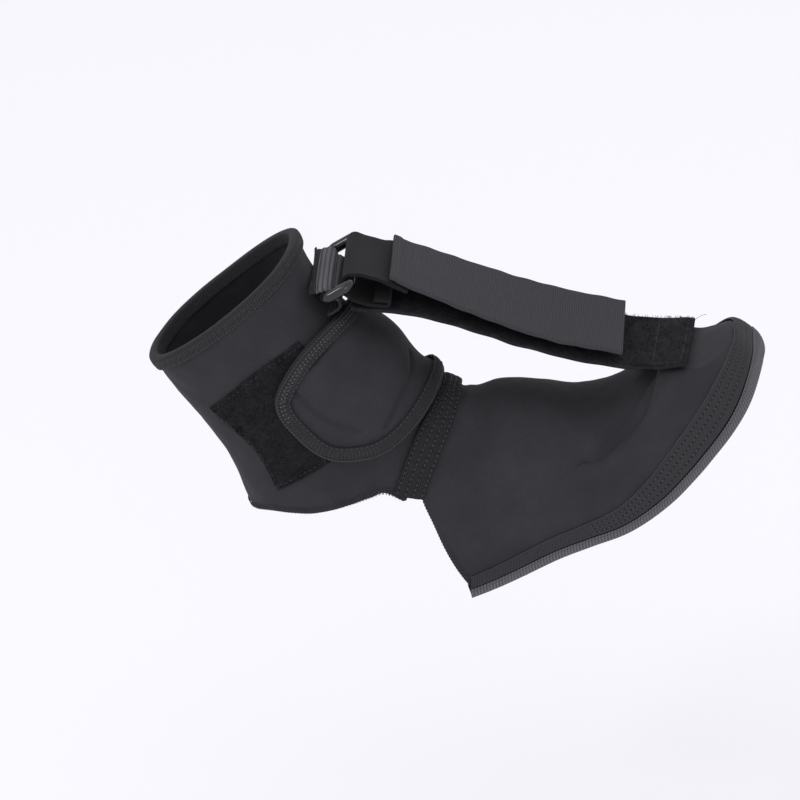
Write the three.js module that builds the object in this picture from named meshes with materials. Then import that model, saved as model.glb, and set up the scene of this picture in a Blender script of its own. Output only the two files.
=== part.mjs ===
// A dorsal night splint for one foot, in millimetres, with Z up.
// The toes point along +X, and the closing flap is on the -Y side.
// The origin is the ankle seat, the middle of the cuff's hollow where the leg bends into the foot.
import * as THREE from 'three';

// Driving dimensions
const footReach = 200; // from the ankle seat to the tip of the toes
const legRise = 86; // from the ankle seat up to the front of the cuff's rim
const ankleDepth = 84; // front to back across the cuff
const footWidth = 86; // across the ball of the foot
const soleEdge = 6; // from the sole's underside up to its widest line
const noseWidth = 10; // flat stretch at the tip of the toes

const neopreneWall = 3;
const flapWall = 3;
const soleWall = 4;
const patchWall = 0.9;
const trimWall = 1.1;
const tapeWall = 1;
const strapWall = 2;
const tabWall = 1.6;
const fit = 0.4; // gap between pieces that touch

const rimBindingHeight = 4.4;
const flapBindingWidth = 6.4;
const bandWidth = 16;
const tapeHeight = 12.5;
const soleBindingWrap = 3.4; // sole binding turned in under the sole
const strapWidth = 50;
const ringRod = 4;
const ringPlay = 0.5; // between each edge of the strap and the ring's arm
const ringLength = strapWidth + 2 * (ringPlay + ringRod); // outside, across the foot
const ringWidth = 17; // outside, from bar to bar
const ringCorner = 3; // centre line radius of its corners
const ringTilt = 31; // degrees, its outer bar stands higher
const ringStand = 3.8; // from the cuff to the ring's inner bar
const strapDrop = 12.2; // from the ring's outer bar down to the start of the loop strap
const anchorLength = 15; // strap sewn down on top of the toes
const smoothOverlap = 15; // smooth strap sewn over the start of the loop strap
const tabOverlap = 9; // tab sewn over the smooth strap
const keeperFoot = 5; // keeper sewn down on the cuff, above and below the ring

// The body's cross-sections from the rim of the cuff to the tip of the toes.
// at: share of the way. x: share of footReach. z: share of legRise.
// lean: degrees of the line from back to front.
// depth: share of ankleDepth. width: share of footWidth. foot: 0 is an oval ankle, 1 is a flat-soled foot.
// square: roundness of the front, where 2 is an ellipse.
const sections = [
  { at: 0.0, x: -0.163, z: 0.687, lean: 40.5, depth: 0.99, width: 0.77, foot: 0, square: 2.3 },
  { at: 0.07, x: -0.111, z: 0.471, lean: 35.3, depth: 0.926, width: 0.745, foot: 0, square: 2.7 },
  { at: 0.143, x: -0.04, z: 0.295, lean: 30.2, depth: 0.978, width: 0.74, foot: 0, square: 2.5 },
  { at: 0.215, x: 0.03, z: 0.137, lean: 34.8, depth: 1.073, width: 0.755, foot: 0, square: 2.3 },
  { at: 0.288, x: 0.082, z: -0.096, lean: 40.5, depth: 1.164, width: 0.76, foot: 0, square: 2.2 },
  { at: 0.385, x: 0.183, z: -0.323, lean: 60.7, depth: 1.29, width: 0.745, foot: 0.15, square: 2.2 },
  { at: 0.456, x: 0.285, z: -0.366, lean: 76.1, depth: 1.19, width: 0.73, foot: 0.6, square: 2.2 },
  { at: 0.52, x: 0.377, z: -0.322, lean: 88, depth: 1.03, width: 0.74, foot: 1, square: 2.2 },
  { at: 0.607, x: 0.492, z: -0.2, lean: 106, depth: 0.882, width: 0.82, foot: 1, square: 2.2 },
  { at: 0.666, x: 0.575, z: -0.155, lean: 110, depth: 0.768, width: 0.91, foot: 1, square: 2.2 },
  { at: 0.72, x: 0.651, z: -0.121, lean: 118, depth: 0.671, width: 0.97, foot: 1, square: 2.2 },
  { at: 0.775, x: 0.723, z: -0.04, lean: 132, depth: 0.579, width: 1, foot: 1, square: 2.3 },
  { at: 0.823, x: 0.778, z: 0.058, lean: 139, depth: 0.515, width: 1, foot: 1, square: 2.4 },
  { at: 0.864, x: 0.816, z: 0.163, lean: 136, depth: 0.507, width: 1, foot: 1, square: 2.5 },
  { at: 0.907, x: 0.86, z: 0.2645, lean: 141, depth: 0.461, width: 1, foot: 1, square: 2.6 },
  { at: 0.95, x: 0.915, z: 0.334, lean: 148, depth: 0.307, width: 1, foot: 1, square: 2.6 },
  { at: 1.0, x: 0.965, z: 0.4535, lean: 140, depth: 0.188, width: 1, foot: 1, square: 2.6 },
];
const toeStart = 0.82; // share of the way where the toes begin to close
const ankleRound = 2.2; // roundness of the back of the ankle
const soleSquare = 3.6; // roundness of the sole's edge
const toeBlunt = 2.7; // roundness of the toes seen from above
const ringAt = 0.058; // where the ring sits in front of the cuff
const anchorAt = 0.895; // where the strap comes down on the toes
const shareStep = 0.002; // share of the way between points when a distance along the body is measured
const turnStep = 0.5; // degrees between points when a distance round it is measured

// Folds in the cloth, as lines from one place to another.
// at, around: start and end. depth, spread: shares of footWidth, where a negative depth stands up.
const foldLoss = 0.6; // share of its depth that a fold loses on its way
const foldEnd = 4; // how quickly a fold dies out past its ends
const folds = [
  { at: [0.885, 0.71], around: [12, 62], depth: 0.035, spread: 0.045 },
  { at: [0.93, 0.76], around: [34, 66], depth: -0.014, spread: 0.07 },
  { at: [0.475, 0.47], around: [0, 55], depth: 0.012, spread: 0.035 },
  { at: [0.36, 0.35], around: [0, 75], depth: 0.02, spread: 0.06 },
];

// Seam between cuff and sleeve, and the band over it.
// around: degrees from the front line. at: share of the way. spread: share of bandWidth that shows there.
const instepSeam = [
  { around: 0, at: 0.42, spread: 0.52 },
  { around: 30, at: 0.413, spread: 0.72 },
  { around: 47, at: 0.407, spread: 0.88 },
  { around: 62, at: 0.408, spread: 0.96 },
  { around: 75, at: 0.413, spread: 1.04 },
];
// The cuff's free lower edge, from the seam's end round to the back
const cuffHem = [
  { around: 75, at: 0.413 },
  { around: 80, at: 0.375 },
  { around: 86, at: 0.36 },
  { around: 93, at: 0.344 },
  { around: 103, at: 0.329 },
  { around: 114, at: 0.315 },
  { around: 126, at: 0.3 },
  { around: 140, at: 0.287 },
  { around: 160, at: 0.281 },
  { around: 180, at: 0.28 },
];
// The sleeve's rear edge, from the seam down to the sole's rear corner
const sleeveHem = [
  { around: 62, at: 0.408 },
  { around: 69, at: 0.436 },
  { around: 74, at: 0.462 },
  { around: 80, at: 0.485 },
  { around: 86, at: 0.506 },
  { around: 90, at: 0.52 },
];
const soleRear = 0.52; // share of the way where the sole begins

// The flap from its seam on the far side to its round end on the near side
const flapEdges = [
  { around: 62, top: 0.15, bottom: 0.33 },
  { around: 30, top: 0.128, bottom: 0.34 },
  { around: 0, top: 0.113, bottom: 0.345 },
  { around: -32, top: 0.104, bottom: 0.34 },
  { around: -51, top: 0.102, bottom: 0.334 },
  { around: -65, top: 0.104, bottom: 0.325 },
  { around: -78, top: 0.112, bottom: 0.302 },
  { around: -86, top: 0.127, bottom: 0.277 },
  { around: -92, top: 0.147, bottom: 0.254 },
  { around: -96, top: 0.174, bottom: 0.228 },
];

// The loop patch's upper and lower edges, from under the flap back to its free end.
// upper, lower: shares of the way. upperTurn, lowerTurn: degrees from the front line.
const patchEdges = [
  { along: 0, upper: 0.09, upperTurn: -60, lower: 0.272, lowerTurn: -62 },
  { along: 0.5, upper: 0.095, upperTurn: -95, lower: 0.275, lowerTurn: -92 },
  { along: 1, upper: 0.114, upperTurn: -133, lower: 0.269, lowerTurn: -124 },
];

// The tape round the foot of the upper. height: share of tapeHeight.
const tapeHeights = [
  { at: 0.52, height: 0.4 },
  { at: 0.6, height: 0.42 },
  { at: 0.66, height: 0.45 },
  { at: 0.72, height: 0.58 },
  { at: 0.78, height: 0.78 },
  { at: 0.85, height: 0.94 },
  { at: 0.92, height: 1 },
  { at: 1.0, height: 0.88 },
];

// Straps between the ring and the toes.
// along, lift: shares of the straight run. roll: degrees, near edge down.
const loopRun = [
  { along: 0.0, lift: 0.0, roll: 2 },
  { along: 0.1, lift: 0.015, roll: 3 },
  { along: 0.2, lift: 0.028, roll: 3 },
  { along: 0.32, lift: 0.02, roll: 4 },
  { along: 0.46, lift: 0.008, roll: 5 },
  { along: 0.66, lift: -0.012, roll: 7 },
  { along: 0.8, lift: -0.016, roll: 7 },
  { along: 0.92, lift: -0.01, roll: 4 },
];
const tabRun = [
  { along: 0.083, lift: 0.125, roll: 0 },
  { along: 0.196, lift: 0.103, roll: 1 },
  { along: 0.307, lift: 0.083, roll: 2 },
  { along: 0.466, lift: 0.056, roll: 4 },
  { along: 0.647, lift: 0.034, roll: 6 },
  { along: 0.763, lift: 0.03, roll: 7 },
  { along: 0.863, lift: 0.032, roll: 7 },
];
// The smooth strap's free stretches. right, up: shares of strapWidth from the ring's outer bar.
const smoothTop = [
  { right: 0.13, up: 0.078 },
  { right: 0.24, up: 0.056 },
];
const smoothBelow = [
  { right: 0.06, up: -0.1 },
  { right: 0.13, up: -0.168 },
];

const radians = THREE.MathUtils.degToRad;
const mix = THREE.MathUtils.lerp;

// A smooth curve through one column of a table, at a value of its key column, which rises
function follow(table, key, column, value) {
  const last = table.length - 1;
  let i = 0;
  while (i < last - 1 && table[i + 1][key] < value) i++;
  const slope = (j) => {
    const a = table[Math.max(j - 1, 0)];
    const b = table[Math.min(j + 1, last)];
    return (b[column] - a[column]) / (b[key] - a[key]);
  };
  const [p, q] = [table[i], table[i + 1]];
  const step = q[key] - p[key];
  const t = THREE.MathUtils.clamp((value - p[key]) / step, 0, 1);
  const [t2, t3] = [t * t, t * t * t];
  const ends = p[column] * (2 * t3 - 3 * t2 + 1) + q[column] * (3 * t2 - 2 * t3);
  return ends + step * (slope(i) * (t3 - 2 * t2 + t) + slope(i + 1) * (t3 - t2));
}

// count + 1 values from one end to the other
const steps = (from, to, count) => Array.from({ length: count + 1 }, (_, i) => mix(from, to, i / count));
const signedPower = (v, power) => Math.sign(v) * Math.abs(v) ** power;

function halfWidth(at) {
  const closing = Math.max(0, (at - toeStart) / (1 - toeStart));
  const full = (footWidth / 2) * follow(sections, 'at', 'width', at);
  const left = Math.max(0, 1 - closing ** toeBlunt) ** (1 / toeBlunt);
  return Math.hypot(full * left, (closing * noseWidth) / 2);
}

// A point of the plain body. around: degrees from the front line, negative on the near side.
function bodyPoint(at, around) {
  const get = (column) => follow(sections, 'at', column, at);
  const depth = ankleDepth * get('depth');
  const foot = THREE.MathUtils.clamp(get('foot'), 0, 1);
  const low = mix(0.5, soleEdge / depth, foot);
  const [c, s] = [Math.cos(radians(around)), Math.sin(radians(around))];
  const power = 2 / (c > 0 ? get('square') : mix(ankleRound, soleSquare, foot));
  const up = depth * (low - 0.5 + signedPower(c, power) * (c > 0 ? 1 - low : low));
  const lean = radians(get('lean'));
  return new THREE.Vector3(
    footReach * get('x') + up * Math.cos(lean),
    halfWidth(at) * signedPower(s, power),
    legRise * get('z') + up * Math.sin(lean),
  );
}

// The body's outward direction, from points a little before and after
function outward(at, around) {
  const [along, turn] = [2 * shareStep, 4 * turnStep];
  const onward = bodyPoint(Math.min(1, at + along), around).sub(bodyPoint(Math.max(0, at - along), around));
  const round = bodyPoint(at, around + turn).sub(bodyPoint(at, around - turn));
  return onward.cross(round).normalize();
}

function foldDepth(at, around) {
  let sum = 0;
  for (const fold of folds) {
    const [from, to] = fold.around;
    const share = THREE.MathUtils.clamp((Math.abs(around) - from) / (to - from), 0, 1);
    const past = Math.max(0, Math.abs(around) - to, from - Math.abs(around)) / (to - from);
    const away = (at - mix(fold.at[0], fold.at[1], share)) * footReach;
    const fade = Math.exp(-((past * foldEnd) ** 2)) * (1 - foldLoss * share);
    sum += fold.depth * footWidth * fade * Math.exp(-((away / (fold.spread * footWidth)) ** 2));
  }
  return sum;
}

// A point of the cloth, out millimetres above the body's skin
function skin(at, around, out = 0) {
  return bodyPoint(at, around).addScaledVector(outward(at, around), out - foldDepth(at, around));
}

// The place on the front half whose distance across the foot is y
function aroundAt(at, y) {
  const share = Math.min(1, Math.abs(y) / halfWidth(at)) ** (follow(sections, 'at', 'square', at) / 2);
  return Math.sign(y) * THREE.MathUtils.radToDeg(Math.asin(share));
}

// Share of the way reached by going a distance along the body
function goAlong(at, around, distance) {
  const step = Math.sign(distance) * shareStep;
  let [place, gone] = [at, 0];
  let before = bodyPoint(place, around);
  while (gone < Math.abs(distance) && place + step >= 0 && place + step <= 1) {
    const next = bodyPoint(place + step, around);
    const length = next.distanceTo(before);
    if (gone + length > Math.abs(distance)) return place + (step * (Math.abs(distance) - gone)) / length;
    [place, gone, before] = [place + step, gone + length, next];
  }
  return place;
}

// Degrees reached by going a distance round a section, where a positive distance goes toward the back
function goRound(at, around, distance) {
  const step = Math.sign(distance) * turnStep;
  let [place, gone] = [around, 0];
  let before = bodyPoint(at, place);
  while (gone < Math.abs(distance)) {
    const next = bodyPoint(at, place + step);
    const length = next.distanceTo(before);
    if (gone + length > Math.abs(distance)) return place + (step * (Math.abs(distance) - gone)) / length;
    [place, gone, before] = [place + step, gone + length, next];
  }
  return place;
}

// One closed body from points and faces, turned so that it faces out
function closedGeometry(points, faces) {
  const triangles = faces.flatMap((f) => (f.length === 4 ? [[f[0], f[1], f[2]], [f[0], f[2], f[3]]] : [f]));
  let volume = 0;
  for (const [a, b, c] of triangles) volume += points[a].dot(points[b].clone().cross(points[c]));
  const facing = volume > 0 ? triangles : triangles.map(([a, b, c]) => [a, c, b]);
  const geometry = new THREE.BufferGeometry().setFromPoints(points);
  geometry.setIndex(facing.flat());
  geometry.computeVertexNormals();
  return geometry;
}

// A wall between two equal grids of points.
// ring: the columns close round. nose: the last row closes onto itself, mirrored about its middle column.
function wall(outside, inside, { ring = false, nose = false } = {}) {
  const [rows, columns] = [outside.length, outside[0].length];
  const points = [...outside.flat(), ...inside.flat()];
  const out = (r, c) => r * columns + (c % columns);
  const inn = (r, c) => rows * columns + out(r, c);
  const faces = [];
  const across = ring ? columns : columns - 1;
  for (let r = 0; r < rows - 1; r++)
    for (let c = 0; c < across; c++) {
      faces.push([out(r, c), out(r, c + 1), out(r + 1, c + 1), out(r + 1, c)]);
      faces.push([inn(r, c), inn(r + 1, c), inn(r + 1, c + 1), inn(r, c + 1)]);
    }
  const end = rows - 1;
  for (let c = 0; c < across; c++) {
    faces.push([out(0, c), inn(0, c), inn(0, c + 1), out(0, c + 1)]);
    if (!nose) faces.push([out(end, c), out(end, c + 1), inn(end, c + 1), inn(end, c)]);
  }
  if (!ring)
    for (let r = 0; r < end; r++) {
      faces.push([out(r, 0), out(r + 1, 0), inn(r + 1, 0), inn(r, 0)]);
      faces.push([out(r, across), inn(r, across), inn(r + 1, across), out(r + 1, across)]);
    }
  if (nose) {
    const middle = across / 2;
    for (let c = 0; c < middle; c++) {
      const [near, next, far, before] = [c, c + 1, across - c, across - c - 1];
      const outer = [out(end, near), out(end, next), out(end, before), out(end, far)];
      const inner = [inn(end, near), inn(end, far), inn(end, before), inn(end, next)];
      faces.push(next === before ? [outer[0], outer[1], outer[3]] : outer);
      faces.push(next === before ? [inner[0], inner[1], inner[3]] : inner);
    }
    faces.push([out(end, 0), out(end, across), inn(end, across), inn(end, 0)]);
  }
  return closedGeometry(points, faces);
}

// A solid swept through equal outlines of points, closed into a loop or capped
function sweep(outlines, loop = false) {
  const [rows, sides] = [outlines.length, outlines[0].length];
  const index = (r, c) => (r % rows) * sides + (c % sides);
  const faces = [];
  for (let r = 0; r < (loop ? rows : rows - 1); r++)
    for (let c = 0; c < sides; c++)
      faces.push([index(r, c), index(r, c + 1), index(r + 1, c + 1), index(r + 1, c)]);
  if (!loop) {
    const flat = flatten(outlines[0]);
    for (const [a, b, c] of THREE.ShapeUtils.triangulateShape(flat, [])) {
      const turned = THREE.ShapeUtils.isClockWise(flat) ? [a, c, b] : [a, b, c];
      faces.push([turned[0], turned[2], turned[1]]);
      faces.push(turned.map((k) => index(rows - 1, k)));
    }
  }
  return closedGeometry(outlines.flat(), faces);
}

// An outline's points in its own plane
function flatten(outline) {
  const side = outline[1].clone().sub(outline[0]).normalize();
  const normal = new THREE.Vector3();
  outline.forEach((p, i) => normal.add(p.clone().cross(outline[(i + 1) % outline.length])));
  const up = normal.normalize().cross(side);
  return outline.map((p) => new THREE.Vector2(p.dot(side), p.dot(up)));
}

// A sheet of even thickness about a grid of middle points
function sheet(grid, thickness, options) {
  const nearest = (list, i) => list[THREE.MathUtils.clamp(i, 0, list.length - 1)];
  const pick = (r, c) => nearest(nearest(grid, r), c);
  const lift = (side) =>
    grid.map((row, r) =>
      row.map((p, c) => {
        const down = pick(r + 1, c).clone().sub(pick(r - 1, c));
        const over = pick(r, c + 1).clone().sub(pick(r, c - 1));
        return p.clone().addScaledVector(down.cross(over).normalize(), (side * thickness) / 2);
      }),
    );
  return wall(lift(1), lift(-1), options);
}

// Both skins of a wall over places on the body, from out millimetres below to above
function skinWall(places, low, high, options) {
  const at = (out) => places.map((row) => row.map(([share, around]) => skin(share, around, out)));
  return wall(at(high), at(low), options);
}

const cloth = (color, roughness) => new THREE.MeshStandardMaterial({ color, roughness, metalness: 0 });
const materials = {
  neoprene: cloth('#333336', 0.86),
  velvet: cloth('#222224', 0.96),
  binding: cloth('#2b2b2d', 0.9),
  webbing: cloth('#38383b', 0.84),
  sole: cloth('#2e2e30', 0.88),
  tab: cloth('#434246', 0.8),
  plastic: new THREE.MeshStandardMaterial({ color: '#232326', roughness: 0.28, metalness: 0 }),
};
const splint = new THREE.Group();
function add(name, geometry, material) {
  const mesh = new THREE.Mesh(geometry, material);
  mesh.name = name;
  splint.add(mesh);
}

const seamEnd = instepSeam.at(-1).around;

// Where the seam between cuff and sleeve lies, moved by a distance along the body
function seam(around, distance = 0) {
  const at = follow(instepSeam, 'around', 'at', Math.min(Math.abs(around), seamEnd));
  return distance ? goAlong(at, around, distance) : at;
}

// The cuff: a closed sleeve of cloth from its rim down to its hem
function ankleCuff() {
  const turns = steps(-180, 180, 48).slice(0, -1);
  const crowding = 1.2; // above 1, rows come closer together toward the hem
  const hem = turns.map((around) =>
    Math.abs(around) <= seamEnd ? seam(around, -fit / 2) : follow(cuffHem, 'around', 'at', Math.abs(around)),
  );
  const shares = steps(1, 0, 12).map((left) => 1 - left ** crowding);
  const places = shares.map((share) => turns.map((around, i) => [hem[i] * share, around]));
  add('ankle_cuff', skinWall(places, -neopreneWall, 0, { ring: true }), materials.neoprene);
}

// The rim's binding, folded over the cuff's top edge
function cuffTopBinding() {
  const [out, inn] = [fit, -neopreneWall - fit];
  const rise = fit + trimWall;
  const outlines = steps(-180, 180, 36).slice(0, -1).map((around) => {
    const down = goAlong(0, around, rimBindingHeight);
    const up = bodyPoint(0, around).sub(bodyPoint(shareStep, around)).normalize();
    const over = (o, distance) => skin(0, around, o).addScaledVector(up, distance);
    return [
      skin(down, around, out), skin(down, around, out + trimWall),
      over(out + trimWall, rise), over(inn - trimWall, rise),
      skin(down, around, inn - trimWall), skin(down, around, inn),
      over(inn, fit), over(out, fit),
    ];
  });
  add('cuff_top_binding', sweep(outlines, true), materials.binding);
}

// Shares of the way from the sleeve's rear edge to the nose, closer together round the toes
const toeShare = (toeStart - soleRear) / (1 - soleRear);
const footShares = [
  ...steps(0, toeShare, 10),
  ...steps(0, 90, 9).slice(1).map((turn) => mix(toeShare, 1, Math.sin(radians(turn)))),
];

// The sleeve: a closed toe box that is open at its rear edge, down to the sole's widest line
function footSleeve() {
  const sideEnd = instepSeam.at(-2).around;
  const turns = steps(-90, 90, 24);
  const foot = (at) => goRound(at, 90, -fit / 2);
  const hem = turns.map((around) =>
    Math.abs(around) <= sideEnd ? seam(around, fit / 2) : follow(sleeveHem, 'around', 'at', Math.abs(around)),
  );
  const places = footShares.map((share) =>
    turns.map((around, i) => {
      const at = mix(hem[i], 1, share);
      return [at, Math.sign(around) * Math.min(Math.abs(around), foot(at))];
    }),
  );
  add('foot_sleeve', skinWall(places, -neopreneWall, 0, { nose: true }), materials.neoprene);
}

const footStations = footShares.map((share) => mix(soleRear, 1, share));

// The sole: a sheet under the foot, wrapped a little up to its widest line
function sole() {
  const places = footStations.map((at) => {
    const edge = goRound(at, 90, fit / 2);
    return steps(edge, 360 - edge, 8).map((around) => [at, around]);
  });
  add('sole', skinWall(places, -soleWall, 0, { nose: true }), materials.sole);
}

// Stations along the sole's widest line: forward on the near side, then back on the far side
const rimStations = [
  ...footStations.map((at) => [at, -1]),
  ...footStations.toReversed().map((at) => [at, 1]),
];

function soleTape() {
  const places = rimStations.map(([at, side]) => {
    const top = goRound(at, 90, -tapeHeight * follow(tapeHeights, 'at', 'height', at));
    return steps(top, goRound(at, 90, -fit / 2), 4).map((around) => [at, side * around]);
  });
  add('sole_tape', skinWall(places, fit, fit + tapeWall), materials.webbing);
}

function soleBinding() {
  const places = rimStations.map(([at, side]) => {
    const under = goRound(at, 90, soleEdge + soleBindingWrap);
    return steps(goRound(at, 90, fit / 2), under, 4).map((around) => [at, side * around]);
  });
  add('sole_binding', skinWall(places, fit, fit + trimWall), materials.binding);
}

function instepBand() {
  const places = steps(-seamEnd, seamEnd, 24).map((around) => {
    const half = (bandWidth / 2) * follow(instepSeam, 'around', 'spread', Math.abs(around));
    return steps(seam(around, -half), seam(around, half), 3).map((at) => [at, around]);
  });
  add('instep_band', skinWall(places, fit, fit + trimWall), materials.webbing);
}

function loopPatch() {
  const places = steps(0, 1, 7).map((along) => {
    const edge = (column) => follow(patchEdges, 'along', column, along);
    return steps(0, 1, 5).map((share) => [
      mix(edge('upper'), edge('lower'), share),
      mix(edge('upperTurn'), edge('lowerTurn'), share),
    ]);
  });
  add('loop_patch', skinWall(places, fit, fit + patchWall), materials.velvet);
}

// The flap lies over the patch on the near side and comes down onto the cuff at its seam on the far side
const patchTop = fit + patchWall + fit;
const flapTurns = flapEdges.map((row) => ({ ...row, turn: -row.around }));
function flapPlace(turn, share) {
  const [top, bottom] = ['top', 'bottom'].map((edge) => follow(flapTurns, 'turn', edge, turn));
  return [mix(top, bottom, share), -turn];
}
const roundEndTurn = 51; // degrees where the flap begins to round off
const flapStations = [
  ...steps(flapTurns[0].turn, roundEndTurn, 12),
  ...steps(roundEndTurn, flapTurns.at(-1).turn, 9).slice(1),
];

function closureFlap() {
  const places = flapStations.map((turn) => steps(0, 1, 7).map((share) => flapPlace(turn, share)));
  add('closure_flap', skinWall(places, patchTop, patchTop + flapWall), materials.neoprene);
}

// The flap's edging follows its outline from the seam, round the end and back.
// share and turn are how far one millimetre across the edging goes on the body.
function flapBinding() {
  const outline = [
    ...flapStations.map((turn) => flapPlace(turn, 0)),
    ...steps(0, 1, 4).slice(1, -1).map((share) => flapPlace(flapTurns.at(-1).turn, share)),
    ...flapStations.toReversed().map((turn) => flapPlace(turn, 1)),
  ];
  const top = patchTop + flapWall + 2 * fit;
  const past = fit + trimWall;
  const middle = flapBindingWidth / 2;
  const profile = [
    [middle, top], [flapBindingWidth, top], [flapBindingWidth, top + trimWall], [middle, top + trimWall],
    [-past, top + trimWall], [-past, patchTop], [-fit, patchTop], [-fit, top],
  ];
  const outlines = outline.map(([at, around], i) => {
    const before = outline[Math.max(0, i - 1)];
    const after = outline[Math.min(outline.length - 1, i + 1)];
    const onward = skin(...after).sub(skin(...before)).normalize();
    const across = outward(at, around).cross(onward).normalize();
    const perShare = bodyPoint(at + shareStep, around).sub(bodyPoint(at, around)).divideScalar(shareStep);
    const perTurn = bodyPoint(at, around + turnStep).sub(bodyPoint(at, around)).divideScalar(turnStep);
    const [aa, rr, ar] = [perShare.lengthSq(), perTurn.lengthSq(), perShare.dot(perTurn)];
    const [xa, xr] = [across.dot(perShare), across.dot(perTurn)];
    const scale = aa * rr - ar * ar;
    const [share, turn] = [(xa * rr - xr * ar) / scale, (xr * aa - xa * ar) / scale];
    return profile.map(([inwardly, out]) => skin(at + share * inwardly, around + turn * inwardly, out));
  });
  add('flap_binding', sweep(outlines), materials.binding);
}

// The ring, a flat rounded frame whose inner bar hangs in the keeper
const barOut = ringStand + ringRod / 2;
const innerBar = skin(ringAt, 0, barOut);
const ringReach = ringWidth - ringRod;
const ringAcross = new THREE.Vector3(Math.cos(radians(ringTilt)), 0, Math.sin(radians(ringTilt)));
const ringUp = new THREE.Vector3(-ringAcross.z, 0, ringAcross.x);
const outerBar = innerBar.clone().addScaledVector(ringAcross, ringReach);

function buckleRing() {
  const centre = innerBar.clone().lerp(outerBar, 0.5);
  const [halfReach, halfLength] = [ringReach / 2, (ringLength - ringRod) / 2];
  const outlines = [];
  for (const [sx, sy, from] of [[1, 1, 0], [-1, 1, 90], [-1, -1, 180], [1, -1, 270]])
    for (const turn of steps(from, from + 90, 4)) {
      const [c, s] = [Math.cos(radians(turn)), Math.sin(radians(turn))];
      const outwardly = ringAcross.clone().multiplyScalar(c).add(new THREE.Vector3(0, s, 0));
      const middle = centre.clone()
        .addScaledVector(ringAcross, sx * (halfReach - ringCorner) + ringCorner * c)
        .add(new THREE.Vector3(0, sy * (halfLength - ringCorner) + ringCorner * s, 0));
      outlines.push(
        steps(0, 360, 8).slice(0, -1).map((a) =>
          middle.clone()
            .addScaledVector(outwardly, (ringRod / 2) * Math.cos(radians(a)))
            .addScaledVector(ringUp, (ringRod / 2) * Math.sin(radians(a))),
        ),
      );
    }
  add('buckle_ring', sweep(outlines, true), materials.plastic);
}

// The keeper: webbing from the cuff's front over the inner bar and back down to the cuff
function ringKeeper() {
  const wrap = ringRod / 2 + fit + trimWall / 2;
  const out = outward(ringAt, 0);
  const down = new THREE.Vector3(-out.z, 0, out.x).negate();
  const flat = 2 * fit + trimWall / 2;
  const columns = steps(-strapWidth / 2, strapWidth / 2, 12);
  const onCuff = (distance) => columns.map((y) => {
    const at = goAlong(ringAt, 0, distance);
    return skin(at, aroundAt(at, y), flat);
  });
  const roundBar = (turn) => {
    const [c, s] = [wrap * Math.cos(radians(turn)), wrap * Math.sin(radians(turn))];
    return columns.map((y) => {
      const p = innerBar.clone().addScaledVector(out, c).addScaledVector(down, s);
      p.y = y;
      return p;
    });
  };
  const grid = [
    onCuff(wrap + keeperFoot), onCuff(wrap + keeperFoot / 2), onCuff(wrap),
    ...steps(90, -90, 6).map(roundBar),
    onCuff(-wrap), onCuff(-wrap - keeperFoot / 2), onCuff(-wrap - keeperFoot),
  ];
  add('ring_keeper', sheet(grid, trimWall), materials.webbing);
}

// The straight run from below the ring's outer bar to the toes, which the straps follow
const runStart = outerBar.clone().add(new THREE.Vector3(0, 0, -strapDrop));
const strapSeat = 2 * fit + strapWall / 2; // sewn strap's middle above the toes
const runEnd = skin(anchorAt, 0, strapSeat);
const run = runEnd.clone().sub(runStart);
const runUp = new THREE.Vector3(-run.z, 0, run.x).normalize();
const strapColumns = steps(-strapWidth / 2, strapWidth / 2, 6);

// One row of points across a strap at a place on the run, lifted by a distance more
function strapRow(table, along, raise = 0) {
  const lift = follow(table, 'along', 'lift', along) * run.length() + raise;
  const roll = radians(follow(table, 'along', 'roll', along));
  const middle = runStart.clone().addScaledVector(run, along).addScaledVector(runUp, lift);
  const across = new THREE.Vector3(0, Math.cos(roll), 0).addScaledVector(runUp, Math.sin(roll));
  return strapColumns.map((y) => middle.clone().addScaledVector(across, y));
}

function loopStrap() {
  const free = steps(0, loopRun.at(-1).along, 14).map((along) => strapRow(loopRun, along));
  const sewn = steps(0, anchorLength, 4).map((distance) => {
    const at = goAlong(anchorAt, 0, distance);
    return strapColumns.map((y) => skin(at, aroundAt(at, y), strapSeat));
  });
  add('loop_strap', sheet([...free, ...sewn], strapWall), materials.velvet);
}

function hookTab() {
  const grid = steps(tabRun[0].along, tabRun.at(-1).along, 12).map((along) => strapRow(tabRun, along));
  add('hook_tab', sheet(grid, tabWall), materials.tab);
}

// The smooth strap: from under the tab, round the ring's outer bar and down onto the loop strap
function smoothStrap() {
  const underTab = -(tabWall / 2 + 2 * fit + strapWall / 2);
  const tabStart = tabRun[0].along;
  const wrap = ringRod / 2 + fit + strapWall / 2;
  const [wrapFrom, wrapTo] = [75, 285]; // degrees round the bar, between which the strap touches it
  const beside = (right, up) =>
    strapColumns.map((y) => new THREE.Vector3(outerBar.x + right, y, outerBar.z + up));
  const place = (row) => beside(row.right * strapWidth, row.up * strapWidth);
  const onLoop = (distance) => strapRow(loopRun, distance / run.length(), strapWall + fit);
  const grid = [
    ...steps(tabOverlap, 0, 5).map((d) => strapRow(tabRun, tabStart + d / run.length(), underTab)),
    ...smoothTop.toReversed().map(place),
    ...steps(wrapFrom, wrapTo, 8).map((turn) =>
      beside(wrap * Math.cos(radians(turn)), wrap * Math.sin(radians(turn)))),
    ...smoothBelow.map(place),
    ...steps(smoothOverlap / 2, smoothOverlap, 3).map(onLoop),
  ];
  add('smooth_strap', sheet(grid, strapWall), materials.neoprene);
}

ankleCuff();
cuffTopBinding();
loopPatch();
closureFlap();
flapBinding();
footSleeve();
sole();
soleTape();
soleBinding();
instepBand();
ringKeeper();
buckleRing();
loopStrap();
smoothStrap();
hookTab();

export default splint;
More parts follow.
